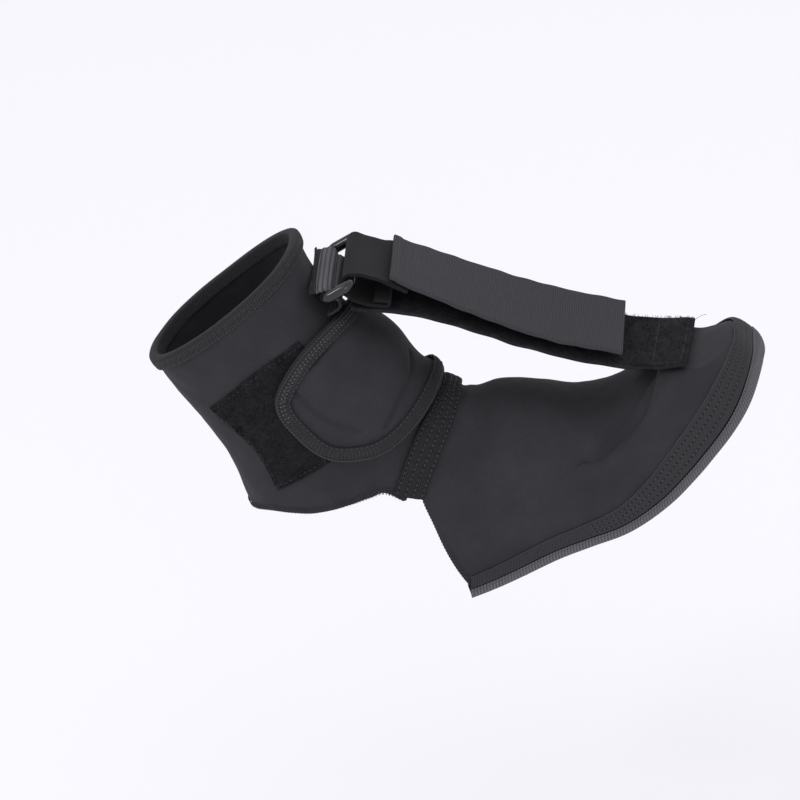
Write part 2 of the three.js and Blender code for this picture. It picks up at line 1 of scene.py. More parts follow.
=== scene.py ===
# %% [markdown]
# # A dorsal night splint
# A soft brace for the foot: an ankle cuff, a sleeve over the toes, and a strap that pulls the toes up.
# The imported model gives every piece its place. Here each piece gets the cloth, thread and pile of the
# real one.

# %% Load the frame
import math
import bmesh
import bpy
import numpy as np
from mathutils import Matrix, Quaternion, Vector


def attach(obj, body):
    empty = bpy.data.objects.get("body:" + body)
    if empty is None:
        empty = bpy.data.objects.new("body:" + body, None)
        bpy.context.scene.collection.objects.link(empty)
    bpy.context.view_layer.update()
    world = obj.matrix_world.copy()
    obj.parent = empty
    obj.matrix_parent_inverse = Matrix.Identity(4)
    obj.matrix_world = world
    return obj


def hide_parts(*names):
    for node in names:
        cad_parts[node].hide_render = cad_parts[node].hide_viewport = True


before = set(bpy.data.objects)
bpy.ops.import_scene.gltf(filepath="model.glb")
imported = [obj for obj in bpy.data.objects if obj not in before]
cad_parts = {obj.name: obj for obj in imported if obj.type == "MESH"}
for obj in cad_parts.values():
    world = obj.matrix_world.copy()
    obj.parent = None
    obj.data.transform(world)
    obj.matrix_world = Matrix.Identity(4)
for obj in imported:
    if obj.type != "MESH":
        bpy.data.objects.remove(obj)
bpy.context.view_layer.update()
MM = 0.001
rng = np.random.default_rng(7)
print("nodes in the frame:", len(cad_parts))

# %% [markdown]
# ## The body's shape
# Every cloth piece lies on one body: cross-sections that run from the cuff's rim to the tip of the toes.
# It could be sculpted, but a table of sections keeps each piece on the same skin, a known distance above it.

# %% Sizes and the table of sections
FOOT_REACH = 200 * MM
LEG_RISE = 86 * MM
ANKLE_DEPTH = 84 * MM
FOOT_WIDTH = 86 * MM
SOLE_EDGE = 6 * MM
NOSE_WIDTH = 10 * MM
FIT = 0.4 * MM
SECTIONS = [
    # at, x, z, lean, depth, width, foot, square
    (0.0, -0.163, 0.687, 40.5, 0.99, 0.77, 0, 2.3),
    (0.07, -0.111, 0.471, 35.3, 0.926, 0.745, 0, 2.7),
    (0.143, -0.04, 0.295, 30.2, 0.978, 0.74, 0, 2.5),
    (0.215, 0.03, 0.137, 34.8, 1.073, 0.755, 0, 2.3),
    (0.288, 0.082, -0.096, 40.5, 1.164, 0.76, 0, 2.2),
    (0.385, 0.183, -0.323, 60.7, 1.29, 0.745, 0.15, 2.2),
    (0.456, 0.285, -0.366, 76.1, 1.19, 0.73, 0.6, 2.2),
    (0.52, 0.377, -0.322, 88, 1.03, 0.74, 1, 2.2),
    (0.607, 0.492, -0.2, 106, 0.882, 0.82, 1, 2.2),
    (0.666, 0.575, -0.155, 110, 0.768, 0.91, 1, 2.2),
    (0.72, 0.651, -0.121, 118, 0.671, 0.97, 1, 2.2),
    (0.775, 0.723, -0.04, 132, 0.579, 1, 1, 2.3),
    (0.823, 0.778, 0.058, 139, 0.515, 1, 1, 2.4),
    (0.864, 0.816, 0.163, 136, 0.507, 1, 1, 2.5),
    (0.907, 0.86, 0.2645, 141, 0.461, 1, 1, 2.6),
    (0.95, 0.915, 0.334, 148, 0.307, 1, 1, 2.6),
    (1.0, 0.965, 0.4535, 140, 0.188, 1, 1, 2.6),
]
X, Z, LEAN, DEPTH, WIDTH, FOOT, SQUARE = range(1, 8)
TOE_START = 0.82
ANKLE_ROUND = 2.2
SOLE_SQUARE = 3.6
TOE_BLUNT = 2.7

# %% Points, directions and folds of the body
def smooth_curve(keys, values, marks):
    """A smooth curve through values at rising keys. The values may be numbers or whole rows of points."""
    keys, values, marks = (np.asarray(v, float) for v in (keys, values, marks))
    spread = (slice(None),) + (None,) * (values.ndim - 1)
    slopes = np.empty_like(values)
    slopes[1:-1] = (values[2:] - values[:-2]) / (keys[2:] - keys[:-2])[spread]
    slopes[0] = (values[1] - values[0]) / (keys[1] - keys[0])
    slopes[-1] = (values[-1] - values[-2]) / (keys[-1] - keys[-2])
    i = np.clip(np.searchsorted(keys, marks) - 1, 0, len(keys) - 2)
    step = keys[i + 1] - keys[i]
    t = np.clip((marks - keys[i]) / step, 0, 1)
    if values.ndim > 1:
        step, t = step[spread], t[spread]
    ends = values[i] * (2 * t**3 - 3 * t**2 + 1) + values[i + 1] * (3 * t**2 - 2 * t**3)
    return ends + step * (slopes[i] * (t**3 - 2 * t**2 + t) + slopes[i + 1] * (t**3 - t**2))


def follow(table, column, value):
    """A smooth curve through one column of a table, whose first column rises."""
    rows = np.array(table, float)
    return smooth_curve(rows[:, 0], rows[:, column], value)


def signed_power(v, power):
    return np.sign(v) * np.abs(v) ** power


def half_width(at):
    closing = np.maximum(0, (at - TOE_START) / (1 - TOE_START))
    full = FOOT_WIDTH / 2 * follow(SECTIONS, WIDTH, at)
    left = np.maximum(0, 1 - closing**TOE_BLUNT) ** (1 / TOE_BLUNT)
    return np.hypot(full * left, closing * NOSE_WIDTH / 2)


def body_point(at, around):
    """Points of the plain body. around is in degrees from the front line, negative on the near side."""
    at, around = np.broadcast_arrays(np.asarray(at, float), np.asarray(around, float))
    depth = ANKLE_DEPTH * follow(SECTIONS, DEPTH, at)
    foot = np.clip(follow(SECTIONS, FOOT, at), 0, 1)
    low = 0.5 + (SOLE_EDGE / depth - 0.5) * foot
    c, s = np.cos(np.radians(around)), np.sin(np.radians(around))
    back = ANKLE_ROUND + (SOLE_SQUARE - ANKLE_ROUND) * foot
    power = 2 / np.where(c > 0, follow(SECTIONS, SQUARE, at), back)
    up = depth * (low - 0.5 + signed_power(c, power) * np.where(c > 0, 1 - low, low))
    lean = np.radians(follow(SECTIONS, LEAN, at))
    x = FOOT_REACH * follow(SECTIONS, X, at) + up * np.cos(lean)
    z = LEG_RISE * follow(SECTIONS, Z, at) + up * np.sin(lean)
    return np.stack([x, half_width(at) * signed_power(s, power), z], -1)


def unit(v):
    return v / np.maximum(np.linalg.norm(v, axis=-1, keepdims=True), 1e-12)


def outward(at, around):
    onward = body_point(np.minimum(1, at + 0.004), around) - body_point(np.maximum(0, at - 0.004), around)
    turn = body_point(at, around + 2) - body_point(at, around - 2)
    return unit(np.cross(onward, turn))


# from at, to at, from around, to around, depth and spread as shares of FOOT_WIDTH
FOLDS = [
    (0.885, 0.71, 12, 62, 0.035, 0.045),
    (0.93, 0.76, 34, 66, -0.014, 0.07),
    (0.475, 0.47, 0, 55, 0.012, 0.035),
    (0.36, 0.35, 0, 75, 0.02, 0.06),
]


def fold_depth(at, around):
    total = 0
    for at_from, at_to, turn_from, turn_to, depth, spread in FOLDS:
        reach = np.abs(around)
        share = np.clip((reach - turn_from) / (turn_to - turn_from), 0, 1)
        past = np.maximum(0, np.maximum(reach - turn_to, turn_from - reach)) / (turn_to - turn_from)
        away = (at - (at_from + (at_to - at_from) * share)) * FOOT_REACH
        fade = np.exp(-((past * 4) ** 2)) * (1 - 0.6 * share)
        total = total + depth * FOOT_WIDTH * fade * np.exp(-((away / (spread * FOOT_WIDTH)) ** 2))
    return total


def skin(at, around, out=0.0):
    """Points of the cloth, out metres above the body's skin."""
    at, around, out = np.broadcast_arrays(*(np.asarray(v, float) for v in (at, around, out)))
    return body_point(at, around) + outward(at, around) * (out - fold_depth(at, around))[..., None]


def around_at(at, y):
    share = np.minimum(1, np.abs(y) / half_width(at)) ** (follow(SECTIONS, SQUARE, at) / 2)
    return np.sign(y) * np.degrees(np.arcsin(share))


def uneven(turn):
    """Degrees round a squarish section for an even turn from its front line."""
    t = np.radians(turn)
    back, side = np.abs(np.cos(t)) ** 1.15, np.abs(np.sin(t)) ** 1.15
    return np.sign(t) * np.degrees(np.arctan2(side, np.where(np.cos(t) < 0, -back, back)))


def go_along(at, around, distance, pieces=24):
    """Share of the way reached by going a distance along the body."""
    at = np.asarray(at, float)
    for _ in range(pieces):
        ahead = np.clip(at + 0.002 * np.sign(distance), 0, 1)
        length = np.linalg.norm(body_point(ahead, around) - body_point(at, around), axis=-1)
        at = np.clip(at + (ahead - at) * np.abs(distance) / pieces / np.maximum(length, 1e-9), 0, 1)
    return at


def go_round(at, around, distance, pieces=24):
    """Degrees reached by going a distance round a section."""
    around = np.broadcast_to(np.asarray(around, float), np.shape(at)).astype(float)
    for _ in range(pieces):
        step = 0.5 * np.sign(distance)
        length = np.linalg.norm(body_point(at, around + step) - body_point(at, around), axis=-1)
        around = around + step * np.abs(distance) / pieces / length
    return around


print("tip of the toes at", np.round(body_point(1.0, 0.0) / MM, 1), "mm")

# %% [markdown]
# ## A sheet from a grid
# Cloth is a sheet with two sides. A grid operator gives the sheet with clean rows and columns,
# each vertex is moved to its place on the body, and a Solidify modifier gives the wall its thickness.
# The piece's UV map holds real distances in millimetres, so a weave keeps its true thread spacing.

# %% Sheet helper
def cloth_sheet(name, points, wall, above, offset=-1.0, ring=False, closed_nose=False):
    """A solid sheet through a grid of points. above holds the same points a little further out."""
    points, above = np.asarray(points, float), np.asarray(above, float)
    cross = np.cross(points[1:, :-1] - points[:-1, :-1], points[:-1, 1:] - points[:-1, :-1])
    turned = ((above - points)[:-1, :-1] * cross).sum() > 0
    if closed_nose:
        middle = (points[-1] + points[-1, ::-1]) / 2 + unit(points[-1] - points[-2]).mean(0) * 0.3 * MM
        middle[:, 1] = 0
        points = np.concatenate([points, middle[None]])
    rows, columns = points.shape[:2]
    across = np.linalg.norm(np.diff(points, axis=1), axis=-1)
    along = np.linalg.norm(np.diff(points, axis=0), axis=-1)
    u = np.concatenate([np.zeros((rows, 1)), np.cumsum(across, 1)], 1) / MM
    u -= u[:, columns // 2][:, None]
    v = np.concatenate([np.zeros((1, columns)), np.cumsum(along, 0)], 0) / MM
    bm = bmesh.new()
    uv_layer = bm.loops.layers.uv.new("UVMap")
    bmesh.ops.create_grid(bm, x_segments=columns - 1, y_segments=rows - 1, size=0.5, calc_uvs=True)
    place = {}
    for vert in bm.verts:
        c = round((vert.co.x + 0.5) * (columns - 1))
        r = round((vert.co.y + 0.5) * (rows - 1))
        place[vert] = (r, c)
        vert.co = points[r, c]
    for face in bm.faces:
        for loop in face.loops:
            r, c = place[loop.vert]
            loop[uv_layer].uv = (u[r, c], v[r, c])
    if turned:
        bmesh.ops.reverse_faces(bm, faces=bm.faces)
    if ring or closed_nose:
        bmesh.ops.remove_doubles(bm, verts=bm.verts, dist=0.01 * MM)
    return finish_piece(name, bm, wall, offset)


def finish_piece(name, bm, wall=0.0, offset=-1.0):
    """The object of a bmesh, with a wall and softly rounded edges where it gets one."""
    mesh = bpy.data.meshes.new(name)
    for face in bm.faces:
        face.smooth = True
    bm.to_mesh(mesh)
    bm.free()
    piece = bpy.data.objects.new(name, mesh)
    bpy.context.scene.collection.objects.link(piece)
    if wall:
        solidify = piece.modifiers.new("wall", "SOLIDIFY")
        solidify.thickness = wall
        solidify.offset = offset
        bevel = piece.modifiers.new("soft edges", "BEVEL")
        bevel.limit_method = "ANGLE"
        bevel.angle_limit = math.radians(60)
        bevel.width = wall * 0.3
        bevel.segments = 2
    print(name, len(mesh.vertices), "vertices")
    return piece


def grid_normals(grid):
    """Directions out of a grid of points, to one of its sides."""
    return unit(np.cross(np.gradient(grid, axis=0), np.gradient(grid, axis=1)))


def smooth_rows(grid, count):
    """The same band of points with more rows, evenly spaced along its middle."""
    grid = np.asarray(grid, float)
    steps = np.linalg.norm(np.diff(grid[:, grid.shape[1] // 2], axis=0), axis=-1)
    keys = np.concatenate([[0], np.cumsum(steps)])
    return smooth_curve(keys, grid, np.linspace(0, keys[-1], count))


# %% [markdown]
# ## Colours and a node helper
# Colours are written as they look on screen and turned to linear values by one function.
# One helper adds a node with its settings and links, so each material reads as a short recipe.

# %% Colour and node helper
def linear(hex_colour):
    values = [int(hex_colour[i:i + 2], 16) / 255 for i in (1, 3, 5)]
    return [v / 12.92 if v <= 0.04045 else ((v + 0.055) / 1.055) ** 2.4 for v in values] + [1.0]


def add_node(tree, kind, inputs=None, **settings):
    node = tree.nodes.new("ShaderNode" + kind)
    for name, value in settings.items():
        setattr(node, name, value)
    for name, value in (inputs or {}).items():
        if isinstance(value, bpy.types.NodeSocket):
            tree.links.new(value, node.inputs[name])
        else:
            node.inputs[name].default_value = value
    return node


def band_scale(period):
    """A wave texture's scale for bands that repeat after a period, in millimetres of the UV map."""
    return math.pi / 10 / period


def new_material(name, roughness, specular, sheen=0.0, sheen_roughness=0.5, sheen_tint="#ffffff"):
    material = bpy.data.materials.new(name)
    material.use_nodes = True
    shader = material.node_tree.nodes["Principled BSDF"]
    shader.inputs["Roughness"].default_value = roughness
    shader.inputs["Specular IOR Level"].default_value = specular
    shader.inputs["Sheen Weight"].default_value = sheen
    shader.inputs["Sheen Roughness"].default_value = sheen_roughness
    shader.inputs["Sheen Tint"].default_value = linear(sheen_tint)
    return material, material.node_tree, shader


def join(tree, shader, ramp, bump):
    """The tone and the relief go to the surface."""
    tree.links.new(ramp.outputs["Color"], shader.inputs["Base Color"])
    tree.links.new(bump.outputs["Normal"], shader.inputs["Normal"])


# %% [markdown]
# ## Neoprene
# The body cloth is foam rubber with a fine knitted face. The knit's loops stand in columns about a
# millimetre apart, too fine to see from afar, so the eye reads a matt black with a soft grey bloom.
# A wave along the columns and a finer one across them make the knit, and slow noise varies the tone.

# %% Neoprene material
def knit_material(name, dark, light, course=1.1, sheen=0.05):
    material, tree, shader = new_material(name, 0.88, 0.16, sheen, 0.5, "#c8c8d2")
    cloth = add_node(tree, "UVMap").outputs["UV"]
    place = add_node(tree, "TexCoord").outputs["Object"]
    waves_in_knit = []
    for direction, period, distortion in (("X", course, 0.6), ("Y", course * 0.7, 1.2)):
        wave = add_node(tree, "TexWave", {"Vector": cloth, "Scale": band_scale(period),
                                          "Distortion": distortion, "Detail": 1.0, "Detail Scale": 2.0},
                        bands_direction=direction)
        waves_in_knit.append(wave.outputs["Fac"])
    columns, courses = waves_in_knit
    loops = add_node(tree, "Math", {0: columns, 1: courses}, operation="MULTIPLY")
    grain = add_node(tree, "TexNoise", {"Vector": place, "Scale": 2600.0, "Detail": 3.0})
    cloud = add_node(tree, "TexNoise", {"Vector": place, "Scale": 45.0, "Detail": 4.0, "Roughness": 0.6})
    tone = add_node(tree, "Math", {0: cloud.outputs["Fac"], 1: 0.55}, operation="MULTIPLY")
    mixed = add_node(tree, "Math", {0: grain.outputs["Fac"], 1: 0.45, 2: tone.outputs[0]},
                     operation="MULTIPLY_ADD")
    ramp = add_node(tree, "ValToRGB", {"Fac": mixed.outputs[0]})
    for end, position, colour in zip(ramp.color_ramp.elements, (0.35, 0.68), (dark, light)):
        end.position, end.color = position, linear(colour)
    height = add_node(tree, "Math", {0: grain.outputs["Fac"], 1: 0.6, 2: loops.outputs[0]},
                      operation="MULTIPLY_ADD")
    bump = add_node(tree, "Bump", {"Height": height.outputs[0], "Strength": 0.35, "Distance": 0.12 * MM})
    join(tree, shader, ramp, bump)
    return material


neoprene = knit_material("neoprene knit", "#29292c", "#343438")
lining = knit_material("neoprene lining", "#1c1c1f", "#262629", 1.3)
smooth_knit = knit_material("smooth strap knit", "#121214", "#1a1a1c", 0.8)

# %% [markdown]
# ## Woven webbing and tape
# Webbing is woven with thick weft ribs across its length. Rows of ribs a millimetre or less apart catch
# the light as fine lines. A wave gives the ribs, a crossing wave gives the warp, and both drive the bump.

# %% Woven materials
def woven_material(name, dark, light, rib, warp, across="X", sheen=0.04, depth=0.25):
    material, tree, shader = new_material(name, 0.82, 0.18, sheen, 0.4, "#c8c8d2")
    cloth = add_node(tree, "UVMap").outputs["UV"]
    other = "Y" if across == "X" else "X"
    ribs = add_node(tree, "TexWave", {"Vector": cloth, "Scale": band_scale(rib), "Distortion": 0.15},
                    bands_direction=across)
    warps = add_node(tree, "TexWave", {"Vector": cloth, "Scale": band_scale(warp), "Distortion": 0.1},
                     bands_direction=other)
    fuzz = add_node(tree, "TexNoise", {"Vector": cloth, "Scale": 1.6, "Detail": 4.0})
    weave = add_node(tree, "Math", {0: warps.outputs["Fac"], 1: 0.4, 2: ribs.outputs["Fac"]},
                     operation="MULTIPLY_ADD")
    tone = add_node(tree, "Math", {0: fuzz.outputs["Fac"], 1: 0.5, 2: weave.outputs[0]},
                    operation="MULTIPLY_ADD")
    ramp = add_node(tree, "ValToRGB", {"Fac": tone.outputs[0]})
    for end, position, colour in zip(ramp.color_ramp.elements, (0.3, 1.0), (dark, light)):
        end.position, end.color = position, linear(colour)
    bump = add_node(tree, "Bump", {"Height": tone.outputs[0], "Strength": 0.6, "Distance": depth * MM})
    join(tree, shader, ramp, bump)
    return material


webbing = woven_material("woven webbing", "#101012", "#29292c", 0.9, 0.7, "Y")
keeper_webbing = woven_material("keeper webbing", "#242426", "#5c5c60", 2.2, 0.6, "Y")
tape_weave = woven_material("sole tape weave", "#19191b", "#39393c", 0.8, 0.6, "Y")
tab_weave = woven_material("hook tab weave", "#262629", "#3b3b3f", 1.0, 0.45, "Y", 0.04, 0.35)
rim_tape = woven_material("rim tape", "#161618", "#2e2e30", 1.2, 0.9, "X")
edging = woven_material("edging cloth", "#161618", "#2e2e30", 1.5, 0.9, "Y")
sole_trim = woven_material("sole trim", "#38383b", "#606064", 1.5, 0.9, "Y", 0.04, 0.4)
sole_weave = woven_material("sole cloth", "#1d1d1f", "#303033", 1.4, 1.4, "X")

# %% [markdown]
# ## Loop pile
# The patch and the strap carry brushed loops that hooks grip. They swallow light, so the pile is the
# darkest cloth, with a tangle of fibres that shows as fine mottling. Noise at two scales gives the tangle.

# %% Pile material
def pile_material(name, dark, light):
    material, tree, shader = new_material(name, 1.0, 0.05, 0.03, 0.6, "#9a9aa4")
    place = add_node(tree, "TexCoord").outputs["Object"]
    tangle = add_node(tree, "TexNoise", {"Vector": place, "Scale": 900.0, "Detail": 6.0, "Roughness": 0.7,
                                         "Distortion": 1.5})
    nap = add_node(tree, "TexNoise", {"Vector": place, "Scale": 130.0, "Detail": 3.0, "Distortion": 0.8})
    both = add_node(tree, "Math", {0: nap.outputs["Fac"], 1: 0.7, 2: tangle.outputs["Fac"]},
                    operation="MULTIPLY_ADD")
    ramp = add_node(tree, "ValToRGB", {"Fac": both.outputs[0]})
    for end, position, colour in zip(ramp.color_ramp.elements, (0.62, 1.05), (dark, light)):
        end.position, end.color = position, linear(colour)
    bump = add_node(tree, "Bump", {"Height": both.outputs[0], "Strength": 0.9, "Distance": 0.5 * MM})
    join(tree, shader, ramp, bump)
    return material


patch_pile = pile_material("patch loop pile", "#161618", "#28282b")
strap_pile = pile_material("strap loop pile", "#18181a", "#2d2d30")

# %% [markdown]
# ## Thread and moulded plastic
# Sewing thread is polyester with a faint lustre, lighter than the cloth it sinks into.
# The ring is moulded acetal: nearly black, smooth, with broad soft highlights from its rounded rod.

# %% Thread and plastic materials
def thread_material(name, colour):
    material, tree, shader = new_material(name, 0.6, 0.3, 0.05, 0.4, "#c8c8d2")
    place = add_node(tree, "TexCoord").outputs["Object"]
    twist = add_node(tree, "TexNoise", {"Vector": place, "Scale": 1500.0, "Detail": 2.0})
    ramp = add_node(tree, "ValToRGB", {"Fac": twist.outputs["Fac"]})
    ramp.color_ramp.elements[0].color = [v * 0.6 for v in linear(colour)[:3]] + [1]
    ramp.color_ramp.elements[1].color = linear(colour)
    tree.links.new(ramp.outputs["Color"], shader.inputs["Base Color"])
    return material


thread = thread_material("polyester thread", "#434347")
light_thread = thread_material("lighter thread", "#58585e")
needle_hole_shade = thread_material("shadow of a needle hole", "#0b0b0c")
overlock_thread = thread_material("overlock thread", "#323235")

ring_plastic, ring_tree, ring_shader = new_material("moulded acetal", 0.12, 0.5)
ring_place = add_node(ring_tree, "TexCoord").outputs["Object"]
ring_flow = add_node(ring_tree, "TexNoise", {"Vector": ring_place, "Scale": 160.0, "Detail": 3.0})
ring_tone = add_node(ring_tree, "ValToRGB", {"Fac": ring_flow.outputs["Fac"]})
for end, colour in zip(ring_tone.color_ramp.elements, ("#141416", "#1e1e21")):
    end.color = linear(colour)
ring_bump = add_node(ring_tree, "Bump", {"Height": ring_flow.outputs["Fac"], "Strength": 0.15,
                                         "Distance": 0.2 * MM})
join(ring_tree, ring_shader, ring_tone, ring_bump)

# %% [markdown]
# ## Dressing a piece
# Each new piece takes its materials, rides on the one body, and hides the frame's solid that it stands for.

# %% Dress helper
def dress(piece, slot, materials, *nodes):
    for material in materials:
        piece.data.materials.append(material)
    solidify = piece.modifiers.get("wall")
    if solidify and len(materials) > 1:
        solidify.material_offset = 1
    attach(piece, "root")
    if nodes:
        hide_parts(*nodes)
    return piece


def body_cloth(name, at, around, out, wall, slot, materials, node, **shape):
    """A dressed sheet that lies on the body, and its grid of points."""
    points = skin(at, around, out)
    piece = cloth_sheet(name, points, wall, above=skin(at, around, out + MM), **shape)
    return dress(piece, slot, materials, node), points


# %% [markdown]
# ## Stitches
# A stitch is a short grain of thread lying on the cloth. Hundreds are needed, so each is a sphere of a few
# faces, stretched along its thread and set down by one matrix.

# %% Stitch helper
def repeat(name, make, places):
    """One small shape, doubled until there is a copy for each place, then set down there."""
    one, copies = bmesh.new(), bpy.data.meshes.new(name + " copies")
    make(one)
    one.to_mesh(copies)
    one.free()
    shape = np.array([vert.co for vert in copies.vertices])
    needed = len(shape) * len(places)
    bm = bmesh.new()
    bm.from_mesh(copies)
    while len(bm.verts) < needed:
        bm.to_mesh(copies)
        bm.from_mesh(copies)
    bmesh.ops.delete(bm, geom=bm.verts[:][needed:], context="VERTS")
    bpy.data.meshes.remove(copies)
    places = np.asarray(places)
    points = np.einsum("nij,kj->nki", places[:, :, :3], shape) + places[:, None, :, 3]
    for vert, point in zip(bm.verts, points.reshape(-1, 3)):
        vert.co = point
    return finish_piece(name, bm)


def grains(name, rows, material, slot):
    """Small rounded threads. A row holds centres, directions, ways out, lengths, a width and a height."""
    places = []
    for centres, alongs, ups, lengths, width, height in rows:
        alongs = unit(alongs)
        sides = unit(np.cross(np.broadcast_to(ups, alongs.shape), alongs))
        ups = np.cross(alongs, sides)
        sizes = np.asarray(lengths)[:, None]
        places.append(np.stack([alongs * sizes / 2, sides * width / 2, ups * height / 2, centres], -1))
    piece = repeat(name, lambda bm: bmesh.ops.create_uvsphere(bm, u_segments=6, v_segments=4, radius=1.0),
                   np.concatenate(places))
    return dress(piece, slot, [material])


def evenly(points, pitch, start=0.0):
    """Places along a line of points, a pitch apart, as fractional indices into it."""
    length = np.concatenate([[0], np.cumsum(np.linalg.norm(np.diff(points, axis=0), axis=-1))])
    marks = np.arange(pitch / 2 + start, length[-1] - pitch / 4, pitch)
    return np.interp(marks, length, np.arange(len(points)))


def pick(values, index):
    """Values at fractional indices."""
    values = np.asarray(values, float)
    places = np.arange(len(values))
    return np.stack([np.interp(index, places, values[:, k]) for k in range(values.shape[1])], -1)


# %% [markdown]
# ## Lines that run beside an edge
# Edging, hems and rows of stitches all keep a set distance from an edge. The distance is turned into
# steps on the body, so that a row two millimetres in from the edge is two millimetres in everywhere.

# %% Lines beside an edge
def beside(at, around, distance, side=1.0, pieces=8):
    """Places a distance across from a line, to the left of it as seen from outside."""
    across = side * unit(np.cross(outward(at, around), unit(np.gradient(body_point(at, around), axis=0))))
    step, turn = 0.002, 0.5
    for _ in range(pieces if distance else 0):
        per_at = (body_point(at + step, around) - body_point(at - step, around)) / (2 * step)
        per_turn = (body_point(at, around + turn) - body_point(at, around - turn)) / (2 * turn)
        aa, rr = (per_at**2).sum(-1), (per_turn**2).sum(-1)
        ar = (per_at * per_turn).sum(-1)
        xa, xr = (across * per_at).sum(-1), (across * per_turn).sum(-1)
        scale = distance / pieces / (aa * rr - ar * ar)
        at, around = at + (xa * rr - xr * ar) * scale, around + (xr * aa - xa * ar) * scale
    return at, around


def strip(at, around, profile):
    """A grid of points beside a line. Each row of the profile is a distance across and a distance out."""
    return np.stack([skin(*beside(at, around, across), out) for across, out in profile], 1)


def even_line(at, around, pitch):
    """The same line with points a pitch apart, its corners a little rounded."""
    points = skin(at, around)
    length = np.concatenate([[0], np.cumsum(np.linalg.norm(np.diff(points, axis=0), axis=-1))])
    marks = np.linspace(0, length[-1], max(4, int(length[-1] / pitch)))
    return np.interp(marks, length, at), np.interp(marks, length, around)


def soften(values, passes=6):
    values = np.array(values, float)
    for _ in range(passes):
        values[1:-1] = (values[:-2] + 2 * values[1:-1] + values[2:]) / 4
    return values


def press(points, line, depth, width):
    """How far points near a line are pressed in."""
    distance = np.full(points.shape[:-1], 1.0)
    for mark in line:
        distance = np.minimum(distance, np.linalg.norm(points - mark, axis=-1))
    return depth * np.exp(-((distance / width) ** 2))


def tucked(points, at, around, depth, behind, ahead):
    """How far cloth goes in beside a crease, widely behind the line and narrowly ahead of it."""
    distance, width = np.full(points.shape[:-1], 1.0), np.full(points.shape[:-1], ahead)
    onward = body_point(at + 0.004, around) - body_point(at - 0.004, around)
    along = np.gradient(body_point(at, around), axis=0)
    ways = unit(np.cross(along, outward(at, around)))
    ways = ways * np.sign((ways * onward).sum(-1, keepdims=True))
    for mark, way in zip(skin(at, around), ways):
        away = points - mark
        here = np.linalg.norm(away, axis=-1)
        nearer = here < distance
        distance = np.where(nearer, here, distance)
        width = np.where(nearer, np.where(away @ way < 0, behind, ahead), width)
    return depth * np.exp(-((distance / width) ** 2))


def waves(at, around, size, turns, alongs, seed):
    """Soft uneven waves of the cloth, the same on both sides of the back line."""
    chance = np.random.default_rng(seed)
    total = np.zeros(np.broadcast(at, around).shape)
    count = 14
    for _ in range(count):
        k, f = chance.integers(turns[0], turns[1] + 1), chance.uniform(*alongs)
        a, b = chance.uniform(0, 2 * np.pi, 2)
        total += np.cos(k * np.radians(around) + a) * np.cos(2 * np.pi * f * at + b)
    return size * total / math.sqrt(count)


# %% [markdown]
# ## The ankle cuff
# A sleeve of foam cloth, cut and glued flat, then drawn round the ankle, so it has soft uneven dents
# and no crisp fold. Its lower hem rises toward the back, and its rim is level with the shin.

# %% Ankle cuff
NEOPRENE_WALL = 3 * MM
SEAM = [(0, 0.42, 0.52), (30, 0.413, 0.72), (47, 0.407, 0.88), (62, 0.408, 0.96), (75, 0.413, 1.04)]
CUFF_HEM = [(75, 0.413), (80, 0.375), (86, 0.36), (93, 0.344), (103, 0.329), (114, 0.315), (126, 0.3),
            (140, 0.287), (160, 0.281), (180, 0.28)]
SEAM_END = SEAM[-1][0]
# the share of the way that the rim's places start from, and how far below the top that is
RIM_START, RIM_START_DIP = 0.006, 1.4
# degrees from the front line, millimetres below the body's top
RIM_DIP = [(0, 0.6), (25, 0.6), (45, 0.8), (65, 0.9), (90, 0.9), (110, 0.4), (135, 0), (160, 0), (180, -1.2)]


def seam(around, distance=0.0):
    at = follow(SEAM, 1, np.minimum(np.abs(around), SEAM_END))
    return go_along(at, around, distance) if distance else at


def cuff_hem(around):
    return np.where(np.abs(around) <= SEAM_END, seam(around, -FIT / 2), follow(CUFF_HEM, 1, np.abs(around)))


def rim_at_turn(around):
    dip = (follow(RIM_DIP, 1, np.abs(around)) - RIM_START_DIP) * MM
    return go_along(np.full(np.shape(around), RIM_START), around, dip)


def ankle_hollow(at, around):
    """The bend of the ankle, where the cloth lies closer to the front line."""
    return 3 * MM * np.exp(-(((at - 0.235) / 0.05) ** 2) - (around / 50) ** 2)


def cuff_dents(at, around):
    dents = waves(at, around, 0.45 * MM, (2, 7), (2, 9), 3)
    dents = dents + waves(at, around, 0.12 * MM, (8, 22), (8, 30), 4)
    to_seam = (seam(around) - at) * FOOT_REACH * 1.2
    front = np.exp(-((around / 55) ** 4))
    bunch = np.exp(-((to_seam - 9 * MM) / (4 * MM)) ** 2) * front * 1.6 * MM
    gathers = np.cos(np.radians(around) * 26 + at * 40) * np.exp(-to_seam / (7 * MM)) * front * 0.3 * MM
    dents = dents - ankle_hollow(at, around)
    return dents - bunch * (0.7 + 0.3 * np.cos(np.radians(around) * 9)) + gathers


turns = np.linspace(-180, 180, 253)
shares = 1 - np.linspace(1, 0, 100) ** 1.15
cuff_at = rim_at_turn(turns) + (cuff_hem(turns) - rim_at_turn(turns))[None] * shares[:, None]
cuff_around = np.broadcast_to(turns, cuff_at.shape)
cuff_out = cuff_dents(cuff_at, cuff_around)
cuff, cuff_points = body_cloth("cuff_cloth", cuff_at, cuff_around, cuff_out, NEOPRENE_WALL, "neoprene",
                               [neoprene, lining], "ankle_cuff", ring=True)

# %% [markdown]
# ## The rim's edging
# A narrow knit tape is folded over the rim and caught by zigzag stitches, which show as slanted threads.
# The fold is a strip with a U-shaped profile; the threads are laid over it from its lower edge to its top.

